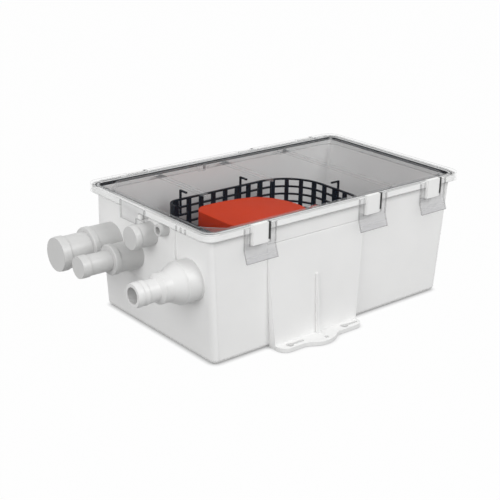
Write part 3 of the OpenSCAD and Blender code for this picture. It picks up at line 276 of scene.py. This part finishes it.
def rubber_with_painted_edge_shade(name, half_x, half_y):
    """Pale gasket rubber with dark lines along both of its edges, painted shade where it meets the parts
    beside it.
    """
    corner = 12 * MM
    width = 4 * MM
    # The dark ends of this ramp are painted shade along both edges of the gasket.
    shades = ((0.0, 0.10), (0.12, 0.85), (0.60, 0.85), (0.72, 0.03), (1.0, 0.02))
    material, tree, shader = new_material(name)
    across = map_range(tree, edge_distance(tree, half_x, half_y, corner), {"From Max": width})
    marks = [(position, (shade,) * 3) for position, shade in shades]
    tree.links.new(colour_ramp(tree, across, marks), shader.inputs["Base Color"])
    vary_roughness(tree, shader, 0.45, 0.6, scale=120)
    add_rubber_grain(tree, shader)
    return material


def clear_plastic(name, colour, alpha, gloss):
    """Clear plastic seen as a thin tinted film."""
    material, tree, shader = new_material(name)
    vary_colour(tree, shader, colour, amount=0.03, scale=9)
    vary_roughness(tree, shader, 0.05, 0.10, scale=30)
    shader.inputs["Alpha"].default_value = alpha
    shader.inputs["Specular IOR Level"].default_value = gloss
    add_bump(tree, shader, object_noise(tree, 14, detail=1.0), depth=0.15 * MM, strength=0.12)
    return material


def edge_mask(tree, radius):
    """1 near an edge and 0 on flat parts, with the softened normal there."""
    soft = node(tree, "ShaderNodeBevel", {"Radius": radius}, samples=6).outputs["Normal"]
    true = node(tree, "ShaderNodeNewGeometry").outputs["True Normal"]
    likeness = vector_step(tree, "DOT_PRODUCT", soft, true)["Value"]
    return map_range(tree, likeness, {"From Min": 0.995, "From Max": 0.93}), soft


def lined_plastic(name, colour, line, alpha, line_alpha, fade=None):
    """Thin clear plastic with pale lines of painted light along its top edges and dark lines of painted
    shade along the others.

    With fade, a pair of heights, its flat parts turn clearer from the lower to the upper one.
    """
    top_edge_painted_light = (0.5, 0.5, 0.5)
    clearest = 0.25 * alpha
    material, tree, shader = new_material(name)
    mask, normal = edge_mask(tree, 0.7 * MM)
    # Edges facing up get the mid grey as painted light, the others the dark line as painted shade.
    upward = node(tree, "ShaderNodeSeparateXYZ", {0: normal}).outputs["Z"]
    lines = colour_ramp(tree, upward, ((0.15, line), (0.35, top_edge_painted_light)))
    mix = node(tree, "ShaderNodeMix", {
        "Factor": mask, "A": tuple(colour) + (1,), "B": lines}, data_type="RGBA")
    tree.links.new(mix.outputs["Result"], shader.inputs["Base Color"])
    if fade:
        height = node(tree, "ShaderNodeSeparateXYZ", {0: object_place(tree)}).outputs["Z"]
        alpha = map_range(tree, height, {
            "From Min": fade[0], "From Max": fade[1], "To Min": alpha, "To Max": clearest})
    cover = map_range(tree, mask, {"To Min": alpha, "To Max": line_alpha})
    shadow_ray = node(tree, "ShaderNodeLightPath").outputs["Is Shadow Ray"]
    unshaded = arithmetic(tree, "SUBTRACT", cover, shadow_ray, use_clamp=True)
    tree.links.new(unshaded, shader.inputs["Alpha"])
    vary_roughness(tree, shader, 0.08, 0.16, scale=60)
    shader.inputs["Specular IOR Level"].default_value = 0.25
    add_bump(tree, shader, object_noise(tree, 90, detail=1.0), depth=0.1 * MM, strength=0.2)
    return material


def turned_metal(name, colour, roughness, scale=700):
    """Metal with fine marks that run along the vertical."""
    material, tree, shader = new_material(name)
    vary_colour(tree, shader, colour, amount=0.06, scale=90)
    vary_roughness(tree, shader, roughness - 0.07, roughness + 0.1, scale, stretch=(1, 1, 0.08))
    shader.inputs["Metallic"].default_value = 1.0
    marks = object_noise(tree, scale, stretch=(1, 1, 0.05))
    add_bump(tree, shader, marks, depth=0.02 * MM, strength=0.3)
    return material


# Finishes of this pump, one function each

def colours():
    """The colours that the user has set."""
    return bpy.context.scene.sump_colours


def finish_of(name, maker, *values, **settings):
    """The material of that name, which its maker makes once."""
    return bpy.data.materials.get(name) or maker(name, *values, **settings)


def box_finish():
    return finish_of("box_white", moulded_plastic, colours().box, 0.40, gloss=0.3)


def foot_finish():
    # The feet's darker white is painted shade.
    return finish_of("foot_white", moulded_plastic, colours().feet, 0.36)


def port_finish():
    # The ports' darker white is painted shade.
    return finish_of("port_white", moulded_plastic, colours().ports, 0.36)


def outlet_finish():
    # The outlet line's darker white is painted shade.
    return finish_of("outlet_white", moulded_plastic, colours().outlet_line, 0.36)


def lid_finish():
    # The lid's dark film paints the shade inside the box.
    return finish_of("lid_clear", clear_plastic, colours().lid, alpha=0.10, gloss=0.0)


def edge_finish():
    # dark is the painted shade on the lid edge's downward edges.
    dark = (0.05, 0.05, 0.05)
    return finish_of(
        "lid_edge_clear", lined_plastic, colours().lid_edge, dark, alpha=0.10, line_alpha=0.65)


def clip_finish():
    """Clear at the clip's bar, with a grey of painted reflection that thickens down to its tip, and painted
    light and shade along its edges.
    """
    dark = (0.02, 0.02, 0.02)
    low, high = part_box("clip_front_left")
    fade = (low.z, low.z + 0.6 * (high.z - low.z))
    return finish_of(
        "clip_clear", lined_plastic, colours().clips, dark, alpha=0.5, line_alpha=0.95, fade=fade)


def pump_finish():
    return finish_of("housing_red", moulded_plastic, colours().pump, 0.45, drift=0.05, gloss=0.04)


def grid_finish():
    return finish_of("strainer_black", moulded_plastic, colours().grid, 0.40, gloss=0.15)


def black_finish():
    return finish_of("fitting_black", moulded_plastic, colours().black, 0.5)


def rubber_finish():
    return finish_of("seal_rubber", soft_rubber, colours().rubber)


def gasket_finish():
    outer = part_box("lid_gasket")[1]
    return finish_of("gasket_rubber", rubber_with_painted_edge_shade, outer.x, outer.y)


def hose_finish():
    return finish_of("hose_grey", moulded_plastic, colours().hose, 0.35, grain=500)


def rib_finish():
    return finish_of("hose_rib_grey", moulded_plastic, (0.72, 0.72, 0.70), 0.3, grain=500)


def steel_finish():
    return finish_of("stainless_steel", turned_metal, (0.62, 0.62, 0.63), 0.3)


def can_finish():
    return finish_of("plated_can", turned_metal, (0.42, 0.43, 0.44), 0.38, scale=300)


def magnet_finish():
    return finish_of("ferrite_grey", moulded_plastic, (0.05, 0.05, 0.055), 0.6, grain=900)


def carbon_finish():
    return finish_of("brush_carbon", moulded_plastic, (0.03, 0.03, 0.03), 0.45, grain=2500)


def bronze_finish():
    return finish_of("bearing_bronze", turned_metal, (0.50, 0.30, 0.12), 0.42)


def copper_finish():
    return finish_of("winding_copper", turned_metal, (0.60, 0.26, 0.14), 0.32)


def rotor_finish():
    return finish_of("rotor_iron", turned_metal, (0.32, 0.22, 0.17), 0.5, scale=1200)


def red_lead_finish():
    return finish_of("lead_red_pvc", moulded_plastic, colours().red_lead, 0.35)


def white_lead_finish():
    return finish_of("lead_white_pvc", moulded_plastic, colours().white_lead, 0.35)


def dress(finish, *nodes):
    """Gives CAD nodes a finish in place of their plain one."""
    for name in nodes:
        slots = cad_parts[name].material_slots
        for slot in slots:
            slot.material = finish
        if not slots:
            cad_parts[name].data.materials.append(finish)


# Meshes

def add_object(name, data):
    """An object of its own in the scene, round a mesh or a light."""
    piece = bpy.data.objects.new(name, data)
    bpy.context.scene.collection.objects.link(piece)
    return piece


def copy_of_node(source, name, finish):
    """A copy of a CAD node with its loose triangles joined and one finish."""
    merge = 0.002 * MM
    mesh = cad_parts[source].data.copy()
    mesh.name = name
    work = bmesh.new()
    work.from_mesh(mesh)
    bmesh.ops.remove_doubles(work, verts=work.verts, dist=merge)
    for face in work.faces:
        face.material_index = 0
    work.to_mesh(mesh)
    work.free()
    mesh.materials.clear()
    mesh.materials.append(finish)
    return add_object(name, mesh)


def rounded_outline(half_x, half_y, radius, inset):
    """Points round a rectangle with round corners, anticlockwise, all moved in by the inset."""
    steps = 10
    points = []
    for turn, (sx, sy) in enumerate(((1, 1), (-1, 1), (-1, -1), (1, -1))):
        for k in range(steps + 1):
            angle = math.radians(90 * (turn + k / steps))
            points.append((
                sx * (half_x - radius) + (radius - inset) * math.cos(angle),
                sy * (half_y - radius) + (radius - inset) * math.sin(angle)))
    return points


def slab(name, outline, low, high, edge):
    """A flat plate with round corners between two heights, and a chamfer of edge round both faces."""
    half_x, half_y, radius = outline
    levels = [(0, low), (0, high)]
    if edge:
        levels = [(edge, low), (0, low + edge), (0, high - edge), (edge, high)]
    work = bmesh.new()
    rings = [
        [work.verts.new((x, y, z)) for x, y in rounded_outline(half_x, half_y, radius, inset)]
        for inset, z in levels]
    for lower, upper in zip(rings, rings[1:]):
        for k in range(len(lower)):
            after = (k + 1) % len(lower)
            work.faces.new((lower[k], lower[after], upper[after], upper[k]))
    work.faces.new(rings[-1])
    work.faces.new(list(reversed(rings[0])))
    mesh = bpy.data.meshes.new(name)
    work.to_mesh(mesh)
    work.free()
    return add_object(name, mesh)


def plain_mesh(piece):
    """Replaces a piece's mesh with what its modifiers make of it."""
    evaluated = piece.evaluated_get(bpy.context.evaluated_depsgraph_get())
    made = bpy.data.meshes.new_from_object(evaluated)
    piece.modifiers.clear()
    piece.data = made


def cut_away(piece, cutter):
    """Takes the cutter's space out of a piece and removes the cutter."""
    cut = piece.modifiers.new("cut", "BOOLEAN")
    cut.operation = "DIFFERENCE"
    cut.solver = "EXACT"
    cut.object = cutter
    plain_mesh(piece)
    bpy.data.objects.remove(cutter)


# Geometry nodes, for what repeats round an axis or follows a path

def node_group(name, inputs):
    """An empty geometry node group with the named inputs, which it gives back, and one output."""
    tree = bpy.data.node_groups.new(name, "GeometryNodeTree")
    for label, kind in inputs:
        tree.interface.new_socket(name=label, in_out="INPUT", socket_type="NodeSocket" + kind)
    tree.interface.new_socket(name="Geometry", in_out="OUTPUT", socket_type="NodeSocketGeometry")
    return tree, tree.nodes.new("NodeGroupInput").outputs


def end_group(tree, geometry, material):
    """Realizes a group's instances and gives them their material."""
    real = node(tree, "GeometryNodeRealizeInstances", {"Geometry": geometry})
    painted = node(tree, "GeometryNodeSetMaterial", {"Geometry": real.outputs[0], "Material": material})
    end = tree.nodes.new("NodeGroupOutput")
    tree.links.new(painted.outputs[0], end.inputs["Geometry"])
    return tree


def round_the_axis(tree, given, instance, start):
    """One instance at each start point, turned on round the axis, then all leant and moved together."""
    step = arithmetic(tree, "DIVIDE", math.tau, given["Count"])
    index = tree.nodes.new("GeometryNodeInputIndex").outputs[0]
    angle = arithmetic(tree, "MULTIPLY", index, step)
    euler = node(tree, "ShaderNodeCombineXYZ", {"Z": angle}).outputs[0]
    turned = node(tree, "FunctionNodeEulerToRotation", {0: euler}).outputs[0]
    copies = node(tree, "GeometryNodeInstanceOnPoints", {
        "Points": start, "Instance": instance, "Rotation": turned}).outputs[0]
    lean = node(tree, "FunctionNodeEulerToRotation", {0: given["Turn"]}).outputs[0]
    return node(tree, "GeometryNodeTransform", {
        "Geometry": copies, "Translation": given["Centre"], "Rotation": lean}).outputs[0]


def circle_curve(tree, points, radius):
    """A closed round curve with so many points."""
    return node(tree, "GeometryNodeCurvePrimitiveCircle", {
        "Resolution": points, "Radius": radius}, mode="RADIUS").outputs[0]


def ring_of_bars():
    """Curved bars spaced evenly round an axis, such as commutator segments or grip ribs."""
    ready = bpy.data.node_groups.get("ring_of_bars")
    if ready:
        return ready
    tree, given = node_group("ring_of_bars", (
        ("Count", "Int"), ("Radius", "Float"), ("Depth", "Float"), ("Height", "Float"),
        ("Fill", "Float"), ("Centre", "Vector"), ("Turn", "Vector"), ("Material", "Material")))
    share = arithmetic(tree, "DIVIDE", given["Fill"], given["Count"])
    sweep = arithmetic(tree, "MULTIPLY", share, math.tau)
    arc = node(tree, "GeometryNodeCurveArc", {
        "Resolution": 7, "Radius": given["Radius"], "Start Angle": 0.0,
        "Sweep Angle": sweep}, mode="RADIUS")
    shape = node(tree, "GeometryNodeCurvePrimitiveQuadrilateral", {
        "Width": given["Depth"], "Height": given["Height"]}, mode="RECTANGLE")
    bar = node(tree, "GeometryNodeCurveToMesh", {
        "Curve": arc.outputs[0], "Profile Curve": shape.outputs[0], "Fill Caps": True}).outputs[0]
    start = node(tree, "GeometryNodePoints", {"Count": given["Count"]}).outputs[0]
    return end_group(tree, round_the_axis(tree, given, bar, start), given["Material"])


def ring_of_loops():
    """Loops of wire laid round an axis, such as the heads of a rotor's windings."""
    ready = bpy.data.node_groups.get("ring_of_loops")
    if ready:
        return ready
    tree, given = node_group("ring_of_loops", (
        ("Count", "Int"), ("Radius", "Float"), ("Loop", "Vector"), ("Wire", "Float"),
        ("Centre", "Vector"), ("Turn", "Vector"), ("Material", "Material")))
    loop = node(tree, "GeometryNodeTransform", {
        "Geometry": circle_curve(tree, 24, 1.0), "Scale": given["Loop"]}).outputs[0]
    coil = node(tree, "GeometryNodeCurveToMesh", {
        "Curve": loop, "Profile Curve": circle_curve(tree, 8, given["Wire"])}).outputs[0]
    start = node(tree, "GeometryNodeMeshCircle", {
        "Vertices": given["Count"], "Radius": given["Radius"]}).outputs[0]
    return end_group(tree, round_the_axis(tree, given, coil, start), given["Material"])


def plates_at_points():
    """Small flat plates, one at each vertex of the mesh that carries the group."""
    ready = bpy.data.node_groups.get("plates_at_points")
    if ready:
        return ready
    tree, given = node_group("plates_at_points", (
        ("Geometry", "Geometry"), ("Plate", "Vector"), ("Material", "Material")))
    plate = node(tree, "GeometryNodeMeshCube", {"Size": given["Plate"]}).outputs[0]
    copies = node(tree, "GeometryNodeInstanceOnPoints", {
        "Points": given["Geometry"], "Instance": plate}).outputs[0]
    return end_group(tree, copies, given["Material"])


def helix_on_path():
    """A round rib that winds along a path at a fixed distance from it."""
    tree, given = node_group("helix_on_path", (
        ("Geometry", "Geometry"), ("Radius", "Float"), ("Pitch", "Float"), ("Rib", "Float"),
        ("Points", "Int"), ("Material", "Material")))
    line = node(tree, "GeometryNodeMeshToCurve", {"Mesh": given["Geometry"]}).outputs[0]
    path = node(tree, "GeometryNodeResampleCurve", {"Curve": line, "Count": given["Points"]}).outputs[0]
    along = tree.nodes.new("GeometryNodeSplineParameter").outputs["Length"]
    turns = arithmetic(tree, "DIVIDE", along, given["Pitch"])
    angle = arithmetic(tree, "MULTIPLY", turns, math.tau)
    normal = tree.nodes.new("GeometryNodeInputNormal").outputs[0]
    tangent = tree.nodes.new("GeometryNodeInputTangent").outputs[0]
    other = vector_step(tree, "CROSS_PRODUCT", tangent, normal)[0]
    parts = []
    for direction, wave in ((normal, "COSINE"), (other, "SINE")):
        size = arithmetic(tree, "MULTIPLY", arithmetic(tree, wave, angle, 0.0), given["Radius"])
        parts.append(node(tree, "ShaderNodeVectorMath", {
            0: direction, "Scale": size}, operation="SCALE").outputs[0])
    offset = vector_step(tree, "ADD", *parts)[0]
    wound = node(tree, "GeometryNodeSetPosition", {"Geometry": path, "Offset": offset}).outputs[0]
    rib = node(tree, "GeometryNodeCurveToMesh", {
        "Curve": wound, "Profile Curve": circle_curve(tree, 6, given["Rib"]), "Fill Caps": True}).outputs[0]
    return end_group(tree, rib, given["Material"])


def grown(name, tree, body, values, mesh=None):
    """A piece that a node group makes from the values, left as a plain mesh that rides on its body."""
    piece = add_object(name, mesh or bpy.data.meshes.new(name))
    maker = piece.modifiers.new(name, "NODES")
    maker.node_group = tree
    for socket in tree.interface.items_tree:
        if socket.name in values:
            maker[socket.identifier] = values[socket.name]
    plain_mesh(piece)
    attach(piece, body)
    return piece


# Operators, one for each piece or group of like pieces

class SUMP_OT_camera(bpy.types.Operator):
    """Place the camera at the viewing angle of the photograph"""

    bl_idname = "sump.camera"
    bl_label = "Camera"

    def execute(self, context):
        view = context.scene.sump_view
        back = Vector((
            math.sin(view.azimuth) * math.cos(view.elevation),
            -math.cos(view.azimuth) * math.cos(view.elevation),
            math.sin(view.elevation)))
        level = Vector((math.cos(view.azimuth), math.sin(view.azimuth), 0))
        up = back.cross(level)
        right = level * math.cos(view.roll) + up * math.sin(view.roll)
        turn = Matrix((right, back.cross(right), back)).transposed()
        data = bpy.data.cameras.new("camera")
        data.sensor_width = 36
        data.lens = view.lens
        data.clip_start = 0.01
        data.clip_end = 50
        camera = bpy.data.objects.new("camera", data)
        camera.matrix_world = turn.to_4x4()
        camera.location = Vector(view.aim) + back * view.distance
        context.scene.collection.objects.link(camera)
        context.scene.camera = camera
        return {"FINISHED"}


def seen_directly(tree):
    """1 for a camera, glossy or transmission ray and 0 for every other one."""
    rays = node(tree, "ShaderNodeLightPath").outputs
    seen = arithmetic(tree, "MAXIMUM", rays["Is Camera Ray"], rays["Is Glossy Ray"])
    return arithmetic(tree, "MAXIMUM", seen, rays["Is Transmission Ray"])


def make_world(strength):
    """Surroundings that light the object with a strength, and that look white where they are seen."""
    world = bpy.data.worlds.new("surroundings")
    bpy.context.scene.world = world
    world.use_nodes = True
    tree = world.node_tree
    tree.nodes.clear()
    lit = node(tree, "ShaderNodeBackground", {"Color": WHITE, "Strength": strength}).outputs[0]
    white = node(tree, "ShaderNodeBackground", {"Color": WHITE, "Strength": 1.0}).outputs[0]
    mix = node(tree, "ShaderNodeMixShader", {"Fac": seen_directly(tree), 1: lit, 2: white})
    node(tree, "ShaderNodeOutputWorld", {"Surface": mix.outputs[0]})


def floor_finish():
    """White to the eye, with a faint shadow close round the object, and grey to the light."""
    lit_grey = (0.28, 0.28, 0.28, 1)
    reach = 6 * MM
    dimmest, brightest = 0.3, 0.985
    material, tree, shader = new_material("floor_white")
    shader.inputs["Base Color"].default_value = lit_grey
    shader.inputs["Roughness"].default_value = 0.9
    shader.inputs["Specular IOR Level"].default_value = 0.0
    glow = node(tree, "ShaderNodeEmission", {"Strength": 1.0}).outputs["Emission"]
    near = node(tree, "ShaderNodeAmbientOcclusion", {"Distance": reach}, samples=8).outputs["AO"]
    open_sky = map_range(tree, near, {
        "From Min": 0.15, "From Max": 0.85, "To Min": dimmest, "To Max": brightest})
    share = arithmetic(tree, "MULTIPLY", seen_directly(tree), open_sky)
    blend = node(tree, "ShaderNodeMixShader", {"Fac": share, 1: shader.outputs["BSDF"], 2: glow})
    output = next(n for n in tree.nodes if n.type == "OUTPUT_MATERIAL")
    tree.links.new(blend.outputs[0], output.inputs["Surface"])
    return material


def make_floor():
    """A square floor a hair below the object."""
    half = 6.0
    corners = [(-half, -half, 0), (half, -half, 0), (half, half, 0), (-half, half, 0)]
    mesh = bpy.data.meshes.new("floor")
    mesh.from_pydata(corners, [], [(0, 1, 2, 3)])
    mesh.materials.append(floor_finish())
    floor = add_object("floor", mesh)
    floor.location = (0, 0, -0.2 * MM)


def add_area_light(name, location, power):
    """A large soft light that looks at the middle of the box."""
    aim = Vector((0, 0, 0.05))
    data = bpy.data.lights.new(name, "AREA")
    data.shape = "RECTANGLE"
    data.size = 1.0
    data.size_y = 0.8
    data.energy = power
    light = add_object(name, data)
    light.location = location
    light.rotation_mode = "QUATERNION"
    light.rotation_quaternion = (aim - Vector(location)).to_track_quat("-Z", "Y")


class SUMP_OT_stage(bpy.types.Operator):
    """Make the floor, the surroundings and the studio lights"""

    bl_idname = "sump.stage"
    bl_label = "Stage"

    def execute(self, context):
        lights = context.scene.sump_lights
        make_world(lights.sky)
        make_floor()
        add_area_light("key", (0.45, -1.4, 1.3), lights.key_power)
        add_area_light("fill", (-1.7, -0.5, 0.8), lights.fill_power)
        context.scene.view_settings.view_transform = "Standard"
        return {"FINISHED"}


class SUMP_OT_box(bpy.types.Operator):
    """Finish the moulded box"""

    bl_idname = "sump.box"
    bl_label = "Sump box"

    def execute(self, context):
        dress(box_finish(), "box_floor", "box_sides", "box_ends", "box_rim")
        dress(foot_finish(), "feet")
        return {"FINISHED"}


class SUMP_OT_ports(bpy.types.Operator):
    """Finish the stubs, the vent, the cable outlet and the outlet line"""

    bl_idname = "sump.ports"
    bl_label = "Ports"

    def execute(self, context):
        dress(port_finish(), "inlet_stub_large", "inlet_stub_small", "vent_stub", "vent_cap", "cable_gland")
        dress(outlet_finish(), "outlet_collar", "check_valve_body", "outlet_barb", "outlet_tail")
        dress(rubber_finish(), "cable_seal", "outlet_seal", "check_flap")
        dress(steel_finish(), "flap_pin")
        return {"FINISHED"}


class SUMP_OT_lid(bpy.types.Operator):
    """Finish the clear lid with its gasket"""

    bl_idname = "sump.lid"
    bl_label = "Lid"

    def execute(self, context):
        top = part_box("lid")[1].z
        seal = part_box("lid_gasket")[1]
        corner = 14 * MM
        seam = 0.02 * MM
        past_top = 2 * MM
        chamfer = 0.15 * MM
        outline = (seal.x, seal.y, corner)
        edge = copy_of_node("lid", "lid_frame", edge_finish())
        cut_away(edge, slab("lid_cutter", outline, seal.z - seam, top + past_top, 0))
        pane = slab("lid_pane", outline, seal.z, top, chamfer)
        pane.data.materials.append(lid_finish())
        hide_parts("lid")
        for piece in (edge, pane):
            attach(piece, "lid_body")
        dress(gasket_finish(), "lid_gasket")
        return {"FINISHED"}


def make_catch_gap_painted_shade(clips):
    """Thin dark plates of painted shade in the gap beside each catch of the long sides, down the wall and
    over the ledge.
    """
    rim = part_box("box_rim")[1]
    width, drop, catch_edge = 2.2 * MM, 16 * MM, 8.6 * MM
    wall_depth, ledge_depth, ledge_height = 0.24 * MM, 2.4 * MM, 0.12 * MM
    proud, inset = 0.15 * MM, 0.95 * MM
    wall, ledge = [], []
    for name in clips:
        low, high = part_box(name)
        x = (low.x + high.x) / 2 + catch_edge + width / 2
        side = 1 if low.y > 0 else -1
        wall.append((x, side * (rim.y + proud), rim.z - drop / 2))
        ledge.append((x, side * (rim.y - inset), rim.z + ledge_height / 2))
    for name, points, plate in (("catch_gap_painted_shade", wall, (width, wall_depth, drop)),
                                ("catch_gap_top_painted_shade", ledge, (width, ledge_depth, ledge_height))):
        mesh = bpy.data.meshes.new(name)
        mesh.from_pydata(points, [], [])
        # The dark rubber finish is used here only to paint the shade in the gaps.
        grown(name, plates_at_points(), "sump", {
            "Plate": plate, "Material": rubber_finish()}, mesh)


class SUMP_OT_clips(bpy.types.Operator):
    """Finish the clear clips and paint shade in the gaps beside their catches"""

    bl_idname = "sump.clips"
    bl_label = "Clips"

    def execute(self, context):
        clips = [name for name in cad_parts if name.startswith("clip_")]
        dress(clip_finish(), *clips)
        make_catch_gap_painted_shade([name for name in clips if name != "clip_port_end"])
        return {"FINISHED"}


class SUMP_OT_strainer(bpy.types.Operator):
    """Finish the grid strainer"""

    bl_idname = "sump.strainer"
    bl_label = "Strainer"

    def execute(self, context):
        dress(grid_finish(), "strainer_sides", "strainer_port_end", "strainer_far_end", "strainer_hooks")
        return {"FINISHED"}


class SUMP_OT_pump(bpy.types.Operator):
    """Finish the pump's housing, base and float switch"""

    bl_idname = "sump.pump"
    bl_label = "Pump"

    def execute(self, context):
        dress(pump_finish(), "pump_housing")
        dress(black_finish(), "pump_base", "volute", "switch_module", "lead_gland", "lead_clips",
              "lead_connector", "discharge_elbow", "end_bell")
        dress(port_finish(), "impeller", "float")
        dress(steel_finish(), "base_screws", "float_pin", "clamp_screws", "hose_clamps", "motor_shaft")
        dress(magnet_finish(), "float_magnet", "motor_magnets")
        return {"FINISHED"}


class SUMP_OT_motor(bpy.types.Operator):
    """Finish the motor inside the housing"""

    bl_idname = "sump.motor"
    bl_label = "Motor"

    def execute(self, context):
        dress(can_finish(), "motor_can")
        dress(bronze_finish(), "lower_bearing", "upper_bearing")
        dress(black_finish(), "commutator")
        dress(rotor_finish(), "motor_rotor")
        dress(carbon_finish(), "brushes")
        dress(rubber_finish(), "shaft_seal")
        poles = 7
        upright = (0, 0, 0)
        iron_low, iron_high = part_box("motor_rotor")
        ring_low, ring_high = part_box("commutator")
        centre = (ring_low + ring_high) / 2
        grown("commutator_bars", ring_of_bars(), "rotor", {
            "Count": poles, "Radius": 6.0 * MM, "Depth": 0.25 * MM, "Height": 5.4 * MM, "Fill": 0.93,
            "Centre": centre, "Turn": upright, "Material": copper_finish()})
        thick, thin = 1.2 * MM, 0.75 * MM
        for name, z, wire in (("winding_heads_low", iron_low.z - thick, thick),
                              ("winding_heads_high", iron_high.z + thin, thin)):
            grown(name, ring_of_loops(), "rotor", {
                "Count": poles, "Radius": 9.8 * MM, "Loop": (4.2 * MM, 6.4 * MM, 1.0), "Wire": wire,
                "Centre": (centre.x, centre.y, z), "Turn": upright, "Material": copper_finish()})
        return {"FINISHED"}


def hose_path():
    """Middle line of the hose between its clamps: straight, an S bend and straight again."""
    start_x, last_run = -27.5 * MM, 2 * MM
    turn = Vector((-52.5, -50, 23.8)) * MM
    bend, angle, middle = 38 * MM, math.radians(60), 17.34 * MM
    tilt = math.radians(10.65)
    steps = 12
    flat = []
    for k in range(steps + 1):
        part = angle * k / steps
        flat.append((-bend * math.sin(part), bend * (1 - math.cos(part))))
    far_x = -2 * bend * math.sin(angle) - middle * math.cos(angle)
    far_z = bend * (1 - 2 * math.cos(angle)) + middle * math.sin(angle)
    for k in range(steps + 1):
        part = angle * (1 - k / steps)
        flat.append((far_x + bend * math.sin(part), far_z + bend * math.cos(part)))
    bends = [(turn.x + x, turn.y - z * math.sin(tilt), turn.z + z * math.cos(tilt)) for x, z in flat]
    last = Vector(bends[-1])
    return [(start_x, turn.y, turn.z)] + bends + [(last.x - last_run, last.y, last.z)]


def make_hose_rib():
    """The rib that winds along the hose, half sunk in its wall."""
    points = hose_path()
    mesh = bpy.data.meshes.new("hose_rib")
    mesh.from_pydata(points, [(k, k + 1) for k in range(len(points) - 1)], [])
    grown("hose_rib", helix_on_path(), "sump", {
        "Radius": 11.3 * MM, "Pitch": 6.5 * MM, "Rib": 0.9 * MM, "Points": 700,
        "Material": rib_finish()}, mesh)


def make_clamp_ridges():
    """The ridges that a clamp's screw runs in, round each band of the two clamps."""
    low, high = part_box("hose_clamps")
    band, half_width = 12.3 * MM, 4 * MM
    lying = (0, math.pi / 2, 0)
    for name, x, y, z in (("clamp_ridges_low", high.x - half_width, high.y - band, low.z + band),
                          ("clamp_ridges_high", low.x + half_width, low.y + band, high.z - band)):
        grown(name, ring_of_bars(), "sump", {
            "Count": 30, "Radius": band + 0.2 * MM, "Depth": 0.3 * MM, "Height": 5 * MM, "Fill": 0.45,
            "Centre": (x, y, z), "Turn": lying, "Material": steel_finish()})


class SUMP_OT_hose(bpy.types.Operator):
    """Finish the discharge hose, with its rib and the ridges of its clamps"""

    bl_idname = "sump.hose"
    bl_label = "Discharge hose"

    def execute(self, context):
        dress(hose_finish(), "discharge_hose")
        make_hose_rib()
        make_clamp_ridges()
        return {"FINISHED"}


class SUMP_OT_leads(bpy.types.Operator):
    """Finish the two leads of the pump"""

    bl_idname = "sump.leads"
    bl_label = "Leads"

    def execute(self, context):
        dress(red_lead_finish(), "lead_red")
        dress(white_lead_finish(), "lead_white")
        return {"FINISHED"}


STEPS = (
    SUMP_OT_camera, SUMP_OT_stage, SUMP_OT_box, SUMP_OT_ports, SUMP_OT_lid, SUMP_OT_clips,
    SUMP_OT_strainer, SUMP_OT_pump, SUMP_OT_motor, SUMP_OT_hose, SUMP_OT_leads,
)


class SUMP_PT_panel(bpy.types.Panel):
    """Lists the steps that dress the pump"""

    bl_label = "Sump pump"
    bl_idname = "SUMP_PT_panel"
    bl_space_type = "VIEW_3D"
    bl_region_type = "UI"
    bl_category = "Sump pump"

    def draw(self, context):
        for step in STEPS:
            self.layout.operator(step.bl_idname)


GROUPS = (SumpViewSettings, SumpColourSettings, SumpLightSettings)


def register():
    for item in GROUPS + STEPS + (SUMP_PT_panel,):
        bpy.utils.register_class(item)
    bpy.types.Scene.sump_view = PointerProperty(type=SumpViewSettings)
    bpy.types.Scene.sump_colours = PointerProperty(type=SumpColourSettings)
    bpy.types.Scene.sump_lights = PointerProperty(type=SumpLightSettings)


def unregister():
    del bpy.types.Scene.sump_lights
    del bpy.types.Scene.sump_colours
    del bpy.types.Scene.sump_view
    for item in reversed(GROUPS + STEPS + (SUMP_PT_panel,)):
        bpy.utils.unregister_class(item)


def main():
    """Registers the add-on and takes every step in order."""
    register()
    for step in STEPS:
        group, action = step.bl_idname.split(".")
        getattr(getattr(bpy.ops, group), action)()


if __name__ == "__main__":
    main()
